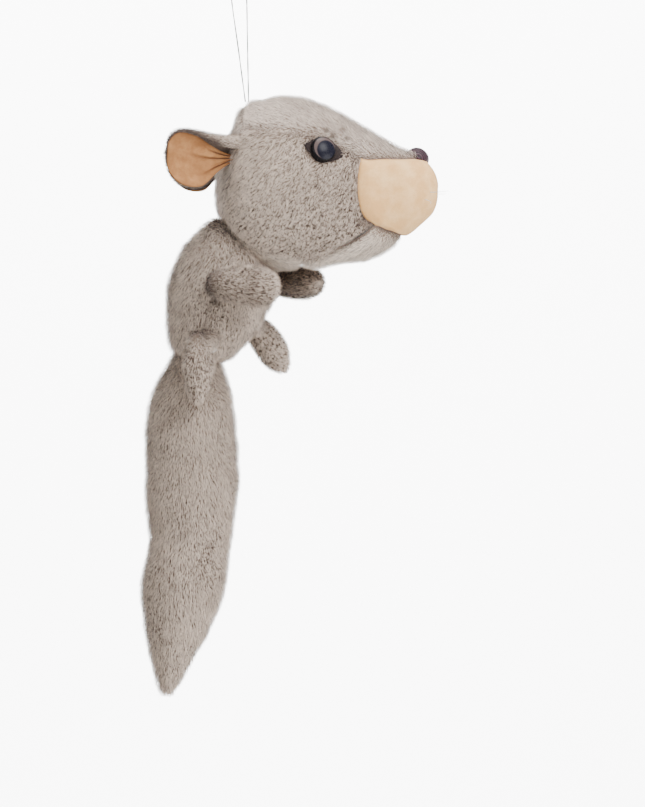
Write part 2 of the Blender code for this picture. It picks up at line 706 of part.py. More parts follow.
def ball_end(pivot, ball):
    """Rings from the top of a segment's ball to just above its equator."""
    rings = [(pivot + Z_AXIS * ball, Vector(), Vector())]
    for degrees in (15, 30, 45, 60, 75):
        turn = math.radians(degrees)
        rings.append(flat_ring(pivot + Z_AXIS * ball * math.cos(turn), ball * math.sin(turn)))
    return rings


def build_tail():
    names = ("upper", "middle", "tip")
    for index, name in enumerate(names):
        start = TAIL_JOINTS[index]
        pivot = tail_centre(start)
        rings = ball_end(pivot, tail_ball(index))
        last = index == len(names) - 1
        if last:
            end = 0.972
        else:
            following = TAIL_JOINTS[index + 1]
            rise = (tail_ball(index + 1) + JOINT_GAP) * math.cos(RIM_ANGLE)
            end = following - rise / TAIL_LENGTH
        steps = 6
        for step in range(steps + 1):
            share = mix(start, end, step / steps)
            rings.append(flat_ring(tail_centre(share), max(tail_radius(share) - INSET, 0.0012)))
        if last:
            rings.append((tail_centre(0.978), Vector(), Vector()))
        else:
            rings += socket(tail_centre(following), tail_ball(index + 1))
        add_object(f"tail_{name}_stuffing", ringed_form(rings, 18), STUFFING, origin=pivot)
        middle = tail_centre(mix(start, end, 0.5))
        first = start + (0.012 if index == 0 else 0.0)
        for side, low in (("right", -math.pi), ("left", 0.0)):
            place = lambda u, v, low=low: tail_point(mix(first, end - 0.012 * last, u), low + math.pi * v)
            panel(f"tail_{name}_panel_{side}", place, (5, 7), FUR, middle, origin=pivot)


# ---- Limbs --------------------------------------------------------------------------------------
def limb_place(ahead_below, thickness, side):
    """A limb's joint, beside the torso, clear of the torso and the tail."""
    ahead, below = ahead_below
    out = max(TORSO_WIDTH / 2, TAIL_RADIUS) + LIMB_GAP + thickness / 2
    spine = NECK + Vector((-0.22 * TORSO_DROP, 0, 0))
    return spine + FORWARD * ahead + LEFT * side * out - Z_AXIS * below


def inner_reach(pivot, side, radius):
    """How near to the torso's middle plane a stub of this radius may come at a limb's joint."""
    widest = 0.0
    for share in np.linspace(0, 1, 25):
        for turn in np.linspace(0, 2 * math.pi, 73):
            offset = torso_point(share, turn) - pivot
            across = math.hypot(offset.dot(FORWARD), offset.z)
            if across < radius + 0.002:
                spot = torso_point(share, turn) - NECK
                widest = max(widest, side * spot.dot(LEFT))
    return widest + TOUCH_GAP + 0.0008


def build_limb(name, outline, size, pivot, turn, side):
    """A stuffed paw: an outer and an inner panel round a stuffing that reaches the torso."""
    length, width, thickness = size
    above = 0.22 * length
    shape = Curve(outline)
    flat = Curve([(along, share ** 0.75) for along, share in outline])
    inside = pivot + turn @ Vector((0, 0, above - length / 2))

    def place(along, round_):
        local = Vector((math.cos(round_) * shape(along) * width / 2,
                        math.sin(round_) * flat(along) * thickness / 2, above - along * length))
        return pivot + turn @ local

    for face, low in (("outer", 0.0 if side > 0 else -math.pi), ("inner", -math.pi if side > 0 else 0.0)):
        cloth = panel(f"{name}_{face}_panel", lambda u, v: place(mix(0.05, 0.955, u), low + math.pi * v),
                      (7, 5), FUR, inside, origin=pivot)
        if face == "inner":
            inner = cloth
    bm = bmesh.new()
    rings = 9
    bmesh.ops.create_uvsphere(bm, u_segments=12, v_segments=rings, radius=1.0)
    for vert in bm.verts:
        share = round(math.acos(max(-1.0, min(1.0, vert.co.z))) / math.pi * rings) / rings
        vert.co = place((1 - math.cos(math.pi * share)) / 2, math.atan2(vert.co.y, vert.co.x))
    bmesh.ops.recalc_face_normals(bm, faces=bm.faces)
    stuffing = add_object(f"{name}_stuffing", shrink(bm, INSET), STUFFING, origin=pivot)
    near = inner_reach(pivot, side, LIMB_STUB_RADIUS)
    out = (pivot - NECK).dot(LEFT) * side
    for suffix, radius, target, operation in (("stub", LIMB_STUB_RADIUS, stuffing, "UNION"),
                                              ("opening", LIMB_STUB_RADIUS + STUFFING_GAP, inner, "DIFFERENCE")):
        stub = bmesh.new()
        bmesh.ops.create_cone(stub, cap_ends=True, segments=14, radius1=radius, radius2=radius, depth=out - near)
        along = Matrix((FORWARD, -Z_AXIS, LEFT)).transposed().to_4x4()
        along.translation = pivot - LEFT * side * (out - near) / 2
        stub.transform(along)
        cut(target, cutter(f"{name}_{suffix}", stub), operation)


def build_limbs():
    yaw = Matrix((FORWARD, LEFT, Z_AXIS)).transposed()
    for side_name, side in (("right", -1), ("left", 1)):
        lowered = ARM_DROOP[side_name] - math.pi / 2
        arm = yaw @ Matrix.Rotation(-side * ARM_TOE_IN, 3, "Z") @ Matrix.Rotation(lowered, 3, "Y")
        build_limb(f"arm_{side_name}", ARM_OUTLINE, (ARM_LENGTH, ARM_WIDTH, ARM_THICKNESS),
                   limb_place(SHOULDERS[side_name], ARM_THICKNESS, side), arm, side)
        leg = yaw
        if side > 0:
            leg = yaw @ Matrix.Rotation(-LEFT_LEG_LIFT, 3, "Y") @ Matrix.Rotation(LEFT_LEG_SPLAY, 3, "X")
        build_limb(f"leg_{side_name}", LEG_OUTLINE, (LEG_LENGTH, LEG_WIDTH, LEG_THICKNESS),
                   limb_place(HIPS[side_name], LEG_THICKNESS, side), leg, side)


# ---- Ears ---------------------------------------------------------------------------------------
def ear_outline(points):
    dense = smooth_through(points)
    place = np.linspace(0, 1, len(dense))
    return lambda share: np.array([np.interp(share, place, dense[:, 0]), np.interp(share, place, dense[:, 1])])


EAR_EDGES = [ear_outline(points) for points in (EAR_ROOT, EAR_UPPER, EAR_FREE, EAR_LOWER)]


def ear_flat(u, v):
    """The ear's flat shape: u from the root to the free edge, v from the lower to the upper edge."""
    root, upper, free, lower = EAR_EDGES
    corners = (1 - u) * ((1 - v) * root(0) + v * root(1)) + u * ((1 - v) * free(0) + v * free(1))
    return (1 - u) * root(v) + u * free(v) + (1 - v) * lower(u) + v * upper(u) - corners


def ear_frame(side):
    """The ear's root: X outwards along the ear, Y up the ear, Z out of its lining."""
    degrees, along = EAR_PLACE
    seat = head_frame(along, side * math.radians(degrees), 0.003)
    outward = Vector((-math.cos(EAR_SPREAD), side * math.sin(EAR_SPREAD), 0))
    up = Vector((math.sin(EAR_TILT), 0, math.cos(EAR_TILT)))
    up = (up - outward * up.dot(outward)).normalized()
    lining = outward.cross(up)
    if lining.y * side < 0:
        lining.negate()
    matrix = Matrix((outward, up, lining)).transposed().to_4x4()
    matrix.translation = seat.translation
    return matrix


def build_ears():
    for name, side in (("right", -1), ("left", 1)):
        frame = ear_frame(side)

        def place(u, v, lift):
            x, y = ear_flat(u, v)
            cup = EAR_CUP * ((y * 2) ** 2 * mix(0.9, 1.0, u) + 0.35 * u * u) + lift
            return frame @ Vector((x * EAR_LENGTH, y * EAR_HEIGHT, cup))

        front = frame @ Vector((EAR_LENGTH / 2, 0, 0.08))
        behind = frame @ Vector((EAR_LENGTH / 2, 0, -0.08))
        root = frame.translation.copy()
        panel(f"ear_{name}_lining", lambda u, v: place(mix(0.03, 0.97, u), mix(0.03, 0.97, v), 0.0),
              (6, 7), BEIGE_VELOUR, behind, VELOUR, origin=root)
        panel(f"ear_{name}_fur_back", lambda u, v: place(u, v, EAR_BACK_LIFT),
              (6, 7), FUR, front, FABRIC, origin=root)


build_neck()
build_loop()
build_head_panels()
build_buttons()
build_head_stuffing()
build_whiskers()
build_ears()
build_torso()
build_limbs()
build_tail()
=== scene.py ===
"""Looks of a stuffed plush mouse that hangs by a cord loop from the crown of its head.

The mouse faces +X and +Y is its left. Lengths are metres, in the frame of the solid model. Each sewn
part is a dressed sheet of fur fabric, velour or satin that takes the place of its plain panel, and a
coat of single fibres grows on the fur fabric.
"""

from __future__ import annotations

import json
import logging
import math
from dataclasses import dataclass, field
from enum import Enum
from typing import Callable, Sequence, Union

import bmesh
import bpy
import numpy as np
from mathutils import Matrix, Vector, noise


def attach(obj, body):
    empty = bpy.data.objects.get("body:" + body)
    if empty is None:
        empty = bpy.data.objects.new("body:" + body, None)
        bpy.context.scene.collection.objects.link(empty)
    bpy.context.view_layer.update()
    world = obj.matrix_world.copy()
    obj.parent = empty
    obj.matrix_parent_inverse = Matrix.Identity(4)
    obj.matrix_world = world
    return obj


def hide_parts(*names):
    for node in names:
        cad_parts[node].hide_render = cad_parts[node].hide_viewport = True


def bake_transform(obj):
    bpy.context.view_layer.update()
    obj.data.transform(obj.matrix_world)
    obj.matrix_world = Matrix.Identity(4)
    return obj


LOG = logging.getLogger("plush_mouse")
Array = np.ndarray
Amount = Union[float, np.ndarray]
Place = Callable[[Array, Array], Array]
Socket = bpy.types.NodeSocket
Feed = Union[float, tuple, bpy.types.NodeSocket]
Rgb = tuple[int, int, int]
FUR_SLOT = "grey_beige_fur"

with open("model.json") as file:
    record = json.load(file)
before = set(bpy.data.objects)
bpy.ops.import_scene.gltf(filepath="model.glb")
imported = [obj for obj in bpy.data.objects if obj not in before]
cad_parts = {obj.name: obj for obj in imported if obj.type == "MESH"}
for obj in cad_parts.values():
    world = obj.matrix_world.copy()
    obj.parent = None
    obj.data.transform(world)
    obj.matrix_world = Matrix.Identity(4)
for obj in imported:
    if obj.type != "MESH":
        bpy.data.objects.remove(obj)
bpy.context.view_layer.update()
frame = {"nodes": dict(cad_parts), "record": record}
PIVOTS = {joint["name"]: np.array(joint["pos_m"]) for joint in frame["record"]["behaviour"]["joints"]}
AXES = {joint["name"]: np.array(joint["axis"]) for joint in frame["record"]["behaviour"]["joints"]}


class Side(Enum):
    """A side of the mouse: its name and the sign of Y there."""

    RIGHT = ("right", -1)
    LEFT = ("left", 1)

    @property
    def label(self) -> str:
        """The side's name."""
        return self.value[0]

    @property
    def sign(self) -> int:
        """The sign of Y on this side."""
        return self.value[1]


# ---- Numbers and curves --------------------------------------------------------------------------
def mix(low: Amount, high: Amount, share: Amount) -> Amount:
    """Blends two numbers, vectors or arrays."""
    return low + (high - low) * share


def ease(low: float, high: float, value: Array) -> Array:
    """A smooth step from 0 at low to 1 at high."""
    share = np.clip((value - low) / (high - low), 0, 1)
    return share * share * (3 - 2 * share)


def smooth_through(points: Sequence[Sequence[float]], steps: int = 12) -> Array:
    """Many points on a centripetal curve through a few.

    Args:
        points: The points that the curve passes through.
        steps: How many points to make for each stretch.

    Returns:
        The points of the curve.
    """
    pts = [np.array(point, float) for point in points]
    pts = [2 * pts[0] - pts[1], *pts, 2 * pts[-1] - pts[-2]]
    found = []
    for a, b, c, d in zip(pts, pts[1:], pts[2:], pts[3:]):
        t1 = np.linalg.norm(b - a) ** 0.5
        t2 = t1 + np.linalg.norm(c - b) ** 0.5
        t3 = t2 + np.linalg.norm(d - c) ** 0.5
        for t in np.linspace(t1, t2, steps, endpoint=False):
            ab, bc = mix(a, b, t / t1), mix(b, c, (t - t1) / (t2 - t1))
            cd = mix(c, d, (t - t2) / (t3 - t2))
            found.append(mix(mix(ab, bc, t / t2), mix(bc, cd, (t - t1) / (t3 - t1)), (t - t1) / (t2 - t1)))
    found.append(pts[-2])
    return np.array(found)


class Profile:
    """A smooth value that depends on a fraction."""

    def __init__(self, points: Sequence[Sequence[float]]) -> None:
        """Keeps a dense table of a curve.

        Args:
            points: Pairs of fraction and value that the curve passes through.
        """
        dense = smooth_through(points)
        self.at = np.maximum.accumulate(dense[:, 0])
        self.value = dense[:, 1]

    def __call__(self, fraction: Array) -> Array:
        """The value at a fraction."""
        return np.interp(fraction, self.at, self.value)


def lumps(points: Array, size: float, depth: float, seed: float) -> Array:
    """Soft unevenness of a stuffed skin.

    Args:
        points: Places on the skin.
        size: How wide a lump is, in metres.
        depth: How far a lump stands out, in metres.
        seed: Picks the pattern.

    Returns:
        How far to move each point along its normal.
    """
    flat = points.reshape(-1, 3) / size + seed
    found = [noise.fractal(Vector(place), 0.9, 2.1, 3, noise_basis="PERLIN_ORIGINAL") for place in flat]
    return np.array(found).reshape(points.shape[:-1]) * depth


def full_turn(count: int) -> Array:
    """Turns evenly spaced once round, from 0."""
    return np.linspace(0, 2 * math.pi, count, endpoint=False)


def turn_away(turn: Array, seam: float) -> Array:
    """How far each turn lies from a seam's turn, either way round."""
    return np.abs((turn - seam + math.pi) % (2 * math.pi) - math.pi)[None, :]


def unit_grid(rows: int, columns: int) -> tuple[Array, Array]:
    """Fractions along and across for each point of a grid."""
    return np.meshgrid(np.linspace(0, 1, rows), np.linspace(0, 1, columns), indexing="ij")


def srgb(red: int, green: int, blue: int) -> tuple[float, float, float]:
    """A colour as shaders take it."""
    shares = (part / 255 for part in (red, green, blue))
    return tuple(s / 12.92 if s <= 0.04045 else ((s + 0.055) / 1.055) ** 2.4 for s in shares)


# ---- Finishes ------------------------------------------------------------------------------------
class Nodes:
    """A node tree while it is put together.

    Attributes:
        tree: The tree that the nodes are added to.
    """

    tree: bpy.types.NodeTree

    def node(self, kind: str, settings: dict | None = None, inputs: dict | None = None) -> bpy.types.Node:
        """Adds a node.

        Args:
            kind: The node's type.
            settings: Properties to set on it.
            inputs: Values or sockets for its inputs, by name or number.

        Returns:
            The node.
        """
        made = self.tree.nodes.new(kind)
        for key, value in (settings or {}).items():
            setattr(made, key, value)
        for key, value in (inputs or {}).items():
            self.feed(made.inputs[key], value)
        return made

    def feed(self, socket: Socket, value: Feed) -> None:
        """Links a socket to another, or sets its value.

        Args:
            socket: The input to fill.
            value: The socket or value for it.
        """
        if isinstance(value, Socket):
            self.tree.links.new(value, socket)
        elif isinstance(value, tuple) and len(value) == 3 and socket.type == "RGBA":
            socket.default_value = (*value, 1.0)
        else:
            socket.default_value = value

    def math(self, operation: str, first: Feed, second: Feed = 0.0) -> Socket:
        """The result of one Math node."""
        return self.node("ShaderNodeMath", {"operation": operation}, {0: first, 1: second}).outputs[0]


class Recipe(Nodes):
    """A material's node tree."""

    def __init__(self, name: str) -> None:
        """Starts a material with one principled shader.

        Args:
            name: The material's name.
        """
        self.material = bpy.data.materials.new(name)
        self.material.use_nodes = True
        self.tree = self.material.node_tree
        self.shader = self.tree.nodes["Principled BSDF"]

    def blend(self, share: Feed, low: Feed, high: Feed, mode: str = "MIX") -> Socket:
        """A mixture of two colours.

        Args:
            share: How much of the second colour to take.
            low: The first colour or socket.
            high: The second colour or socket.
            mode: How the two are mixed.

        Returns:
            The mixture's socket.
        """
        made = self.node("ShaderNodeMix", {"data_type": "RGBA", "blend_type": mode},
                         {0: share, 6: low, 7: high})
        return made.outputs[2]

    def spread(self, value: Feed, low: float, high: float, start: float = 0.0, end: float = 1.0) -> Socket:
        """A value mapped from one span to another, and kept inside it.

        Args:
            value: The value's socket.
            low: The first span's start.
            high: The first span's end.
            start: The second span's start.
            end: The second span's end.

        Returns:
            The mapped value's socket.
        """
        made = self.node("ShaderNodeMapRange", {"interpolation_type": "SMOOTHSTEP"},
                         {"Value": value, "From Min": low, "From Max": high, "To Min": start, "To Max": end})
        return made.outputs[0]

    def place(self) -> Socket:
        """The place on the object."""
        return self.node("ShaderNodeTexCoord").outputs["Object"]

    def grain(self, scale: float, detail: float = 2.0, roughness: float = 0.5) -> Socket:
        """A noise over the object.

        Args:
            scale: Features to the metre.
            detail: How many finer layers it has.
            roughness: How strong the finer layers are.

        Returns:
            The noise's socket.
        """
        made = self.node("ShaderNodeTexNoise", None, {"Vector": self.place(), "Scale": scale,
                                                      "Detail": detail, "Roughness": roughness})
        return made.outputs[0]

    def attribute(self, name: str) -> Socket:
        """A number stored on the mesh."""
        return self.node("ShaderNodeAttribute", {"attribute_name": name}).outputs["Fac"]

    def bump(self, height: Feed, strength: float, distance: float) -> None:
        """Gives the shader a bump from a height."""
        made = self.node("ShaderNodeBump", None,
                         {"Height": height, "Strength": strength, "Distance": distance})
        self.feed(self.shader.inputs["Normal"], made.outputs[0])

    def finish(self, colour: Feed, roughness: Feed, **constants: float) -> bpy.types.Material:
        """Fills in the shader.

        Args:
            colour: The base colour's socket or value.
            roughness: The roughness socket or value.
            constants: Other inputs of the shader, by name with underscores for spaces.

        Returns:
            The finished material.
        """
        self.feed(self.shader.inputs["Base Color"], colour)
        self.feed(self.shader.inputs["Roughness"], roughness)
        for key, value in constants.items():
            self.shader.inputs[key.replace("_", " ")].default_value = value
        return self.material


@dataclass(frozen=True)
class FurFibres:
    """Plush fibres that are pale at their tips and dark at their roots.

    Attributes:
        name: The material's name.
        tip: Colour of the fibres' tips.
        root: Colour of their roots.
        dark: Colour of the darkened places, among them painted shade round the roots of the limbs.
        parting: How much of the roots the partings show.
    """

    name: str
    tip: Rgb = (205, 187, 171)
    root: Rgb = (66, 48, 38)
    dark: Rgb = (58, 45, 40)
    parting: float = 0.9

    def build(self) -> bpy.types.Material:
        """Makes the material.

        Returns:
            The material.
        """
        recipe = Recipe(self.name)
        along = recipe.attribute("along")
        strand = recipe.attribute("strand")
        tufts = recipe.spread(recipe.grain(390, 2.0), 0.45, 0.64)
        parted = recipe.math("MULTIPLY", tufts, recipe.attribute("worn"))
        height = recipe.math("SUBTRACT", along, recipe.math("MULTIPLY", parted, self.parting))
        colour = recipe.blend(recipe.spread(height, -0.06, 0.42), srgb(*self.root), srgb(*self.tip))
        patch = recipe.spread(recipe.grain(38, 3.0), 0.32, 0.68)
        colour = recipe.blend(patch, recipe.blend(0.12, colour, srgb(*self.root)), colour)
        single = recipe.spread(strand, 0.0, 1.0, 0.76, 1.08)
        shade = recipe.node("ShaderNodeCombineColor", None, {0: single, 1: single, 2: single}).outputs[0]
        colour = recipe.blend(1.0, colour, shade, "MULTIPLY")
        colour = recipe.blend(recipe.attribute("tone"), colour, srgb(*self.dark))
        return recipe.finish(colour, 0.85, Specular_IOR_Level=0.2, Sheen_Weight=0.08, Sheen_Roughness=0.5)


@dataclass(frozen=True)
class FurBacking:
    """Knitted ground of the fur fabric, seen between the fibres.

    Attributes:
        name: The material's name.
        base: Colour of the yarn.
    """

    name: str
    base: Rgb = (136, 116, 103)

    def build(self) -> bpy.types.Material:
        """Makes the material.

        Returns:
            The material.
        """
        recipe = Recipe(self.name)
        knit = recipe.grain(900, 2.0)
        patch = recipe.spread(recipe.grain(45, 3.0), 0.3, 0.7)
        colour = recipe.blend(patch, tuple(part * 0.6 for part in srgb(*self.base)), srgb(*self.base))
        colour = recipe.blend(recipe.spread(knit, 0.35, 0.65, 0.0, 0.35), colour, srgb(60, 48, 44))
        recipe.bump(knit, 0.5, 0.0006)
        return recipe.finish(colour, 0.95, Sheen_Weight=0.2, Specular_IOR_Level=0.2)


@dataclass(frozen=True)
class Velour:
    """Short-pile beige velour with a brushed bloom.

    Attributes:
        name: The material's name.
        light: Colour where the nap is brushed up.
        deep: Colour where it lies flat.
        fold: Colour of the darker nap, of the seams, and of the painted shade in the creases and the hollow
            of the ear lining.
    """

    name: str
    light: Rgb = (231, 189, 134)
    deep: Rgb = (215, 167, 109)
    fold: Rgb = (128, 82, 50)

    def build(self) -> bpy.types.Material:
        """Makes the material.

        Returns:
            The material.
        """
        recipe = Recipe(self.name)
        brushed = recipe.spread(recipe.grain(60, 4.0, 0.6), 0.35, 0.68)
        nap = recipe.grain(1500, 2.0)
        colour = recipe.blend(brushed, srgb(*self.deep), srgb(*self.light))
        colour = recipe.blend(recipe.spread(nap, 0.4, 0.7, 0.0, 0.14), colour, srgb(*self.fold))
        # Tone darkens the velour towards the fold colour: along seams, and as painted shade in the ear
        # lining's creases and hollow.
        colour = recipe.blend(recipe.attribute("tone"), colour, srgb(*self.fold))
        recipe.bump(recipe.math("ADD", nap, recipe.math("MULTIPLY", brushed, 0.6)), 0.35, 0.0007)
        return recipe.finish(colour, 0.9, Sheen_Weight=0.12, Sheen_Roughness=0.4, Specular_IOR_Level=0.15)


@dataclass(frozen=True)
class RibbedSatin:
    """Dark satin with fine embroidered ribs.

    Attributes:
        name: The material's name.
        thread: Colour of a rib.
        groove: Colour between the ribs, painted shade; the worn patches take it too.
        ribs: How closely the ribs lie.
    """

    name: str
    thread: Rgb = (66, 36, 48)
    groove: Rgb = (24, 11, 18)
    ribs: float = 1500.0

    def build(self) -> bpy.types.Material:
        """Makes the material.

        Returns:
            The material.
        """
        recipe = Recipe(self.name)
        wave = recipe.node("ShaderNodeTexWave", {"bands_direction": "Y"},
                           {"Vector": recipe.place(), "Scale": self.ribs / 6.28, "Distortion": 0.6,
                            "Detail": 1.0, "Detail Scale": 2.0}).outputs[0]
        worn = recipe.spread(recipe.grain(260, 2.0), 0.35, 0.7, 0.0, 0.4)
        # Painted shade: the satin darkens between the ribs.
        colour = recipe.blend(wave, srgb(*self.groove), srgb(*self.thread))
        colour = recipe.blend(worn, colour, srgb(*self.groove))
        recipe.bump(wave, 0.6, 0.0004)
        return recipe.finish(colour, recipe.spread(wave, 0.0, 1.0, 0.60, 0.40), Specular_IOR_Level=0.3)


@dataclass(frozen=True)
class EyeEnamel:
    """Glossy eye with a wide pupil, a narrow iris and a black rim, drawn by the distance from its middle.

    Attributes:
        name: The material's name.
        pupil: Colour of the pupil.
        iris: Colour of the iris.
        rim: Colour of the rim.
    """

    name: str
    pupil: Rgb = (20, 20, 30)
    iris: Rgb = (84, 72, 69)
    rim: Rgb = (10, 9, 12)

    def build(self) -> bpy.types.Material:
        """Makes the material.

        Returns:
            The material.
        """
        recipe = Recipe(self.name)
        streaks = recipe.grain(900, 3.0)
        inner, outer = recipe.attribute("pupil_distance"), recipe.attribute("rim_distance")
        iris = recipe.blend(recipe.spread(streaks, 0.35, 0.7, 0.0, 0.6), srgb(*self.iris), srgb(70, 58, 58))
        colour = recipe.blend(recipe.spread(inner, 0.70, 0.80), srgb(*self.pupil), iris)
        colour = recipe.blend(recipe.spread(outer, 0.82, 0.88), colour, srgb(*self.rim))
        return recipe.finish(colour, recipe.spread(streaks, 0.2, 0.8, 0.24, 0.34), Specular_IOR_Level=0.12)


@dataclass(frozen=True)
class Felt:
    """Matted dark felt.

    Attributes:
        name: The material's name.
        base: Colour of the felt.
    """

    name: str
    base: Rgb = (46, 36, 34)

    def build(self) -> bpy.types.Material:
        """Makes the material.

        Returns:
            The material.
        """
        recipe = Recipe(self.name)
        matted = recipe.grain(1100, 4.0, 0.7)
        shade = tuple(part * 0.4 for part in srgb(*self.base))
        colour = recipe.blend(recipe.spread(matted, 0.35, 0.7), shade, srgb(*self.base))
        recipe.bump(matted, 0.7, 0.0006)
        return recipe.finish(colour, 0.95, Sheen_Weight=0.15, Specular_IOR_Level=0.15)


@dataclass(frozen=True)
class TwistedYarn:
    """Dark twisted yarn whose lay follows the cord, painted near black as shade in the hollows between its
    plies.

    Attributes:
        name: The material's name.
        base: Colour of the yarn.
    """

    name: str
    base: Rgb = (36, 33, 32)

    def build(self) -> bpy.types.Material:
        """Makes the material.

        Returns:
            The material.
        """
        recipe = Recipe(self.name)
        fibre = recipe.grain(2600, 3.0)
        hollow = recipe.attribute("hollow")
        shade = tuple(part * 0.5 for part in srgb(*self.base))
        colour = recipe.blend(recipe.spread(fibre, 0.3, 0.7), shade, srgb(*self.base))
        # Painted shade: the hollows between the plies are darkened to near black.
        colour = recipe.blend(hollow, colour, srgb(10, 9, 9))
        recipe.bump(fibre, 0.4, 0.0002)
        return recipe.finish(colour, 0.8, Sheen_Weight=0.2)


@dataclass(frozen=True)
class Fibrefill:
    """White polyester filling.

    Attributes:
        name: The material's name.
    """

    name: str

    def build(self) -> bpy.types.Material:
        """Makes the material.

        Returns:
            The material.
        """
        recipe = Recipe(self.name)
        tufts = recipe.grain(180, 5.0, 0.7)
        colour = recipe.blend(recipe.spread(tufts, 0.3, 0.7), srgb(205, 202, 196), srgb(242, 240, 236))
        recipe.bump(tufts, 0.8, 0.002)
        return recipe.finish(colour, 1.0, Sheen_Weight=0.3, Specular_IOR_Level=0.1)


@dataclass(frozen=True)
class MouldedPlastic:
    """Plain moulded plastic with a faint flow pattern.

    Attributes:
        name: The material's name.
        base: Colour of the plastic.
        roughness: How matt it is.
        see_through: Share of the light that passes through.
    """

    name: str
    base: Rgb
    roughness: float
    see_through: float = 0.0

    def build(self) -> bpy.types.Material:
        """Makes the material.

        Returns:
            The material.
        """
        recipe = Recipe(self.name)
        flow = recipe.grain(400, 3.0)
        colour = recipe.blend(recipe.spread(flow, 0.35, 0.65, 0.0, 0.25), srgb(*self.base),
                              tuple(part * 0.7 for part in srgb(*self.base)))
        recipe.bump(flow, 0.1, 0.0002)
        rough = recipe.spread(flow, 0.2, 0.8, self.roughness * 0.85, self.roughness * 1.15)
        return recipe.finish(colour, rough, Transmission_Weight=self.see_through)


@dataclass(frozen=True)
class StudioPaper:
    """Plain pale paper of the floor and backdrop.

    Attributes:
        name: The material's name.
        base: Colour of the paper.
    """

    name: str
    base: Rgb = (250, 250, 250)

    def build(self) -> bpy.types.Material:
        """Makes the material.

        Returns:
            The material.
        """
        recipe = Recipe(self.name)
        pulp = recipe.grain(30, 2.0)
        colour = recipe.blend(recipe.spread(pulp, 0.3, 0.7, 0.0, 0.02), srgb(*self.base), srgb(230, 230, 230))
        return recipe.finish(colour, 0.95, Specular_IOR_Level=0.1)


# ---- Meshes --------------------------------------------------------------------------------------
def thicken(piece: bpy.types.Object, thickness: float) -> None:
    """Gives a sheet its thickness, inwards."""
    wall = piece.modifiers.new("wall", "SOLIDIFY")
    wall.thickness, wall.offset = thickness, -1.0


def add_piece(name: str, mesh: bpy.types.Mesh, finish: bpy.types.Material) -> bpy.types.Object:
    """Adds a mesh to the scene as a piece.

    Args:
        name: The piece's name.
        mesh: Its mesh, in the frame's coordinates.
        finish: Its material.

    Returns:
        The new object.
    """
    mesh.materials.clear()
    mesh.materials.append(finish)
    mesh.shade_smooth()
    made = bpy.data.objects.new(name, mesh)
    bpy.context.scene.collection.objects.link(made)
    return made


def store(mesh: bpy.types.Mesh, name: str, values: Array) -> None:
    """Stores one number for each vertex."""
    found = mesh.attributes.new(name, "FLOAT", "POINT")
    found.data.foreach_set("value", np.asarray(values, np.float32).ravel())


def surface_normals(points: Array, wrap: bool) -> Array:
    """Unit normals of a grid of points.

    Args:
        points: The grid, first index along and second index across.
        wrap: Whether the second index closes on itself.

    Returns:
        A normal for each point.
    """
    along = np.gradient(points, axis=0)
    if wrap:
        across = np.roll(points, -1, axis=1) - np.roll(points, 1, axis=1)
    else:
        across = np.gradient(points, axis=1)
    found = np.cross(along, across)
    return found / np.maximum(np.linalg.norm(found, axis=-1, keepdims=True), 1e-12)


def edge_distance(points: Array, wrap: bool) -> Array:
    """How far each point of a grid lies from the grid's sewn edges.

    Args:
        points: The grid.
        wrap: Whether the second index closes on itself, so that it has no edge.

    Returns:
        The distance of each point, in metres.
    """
    found = []
    for axis in (0,) if wrap else (0, 1):
        steps = np.linalg.norm(np.diff(points, axis=axis), axis=-1)
        run = np.insert(np.cumsum(steps, axis=axis), 0, 0.0, axis=axis)
        total = run.take([-1], axis=axis)
        found += [run, total - run]
    return np.minimum.reduce(found)


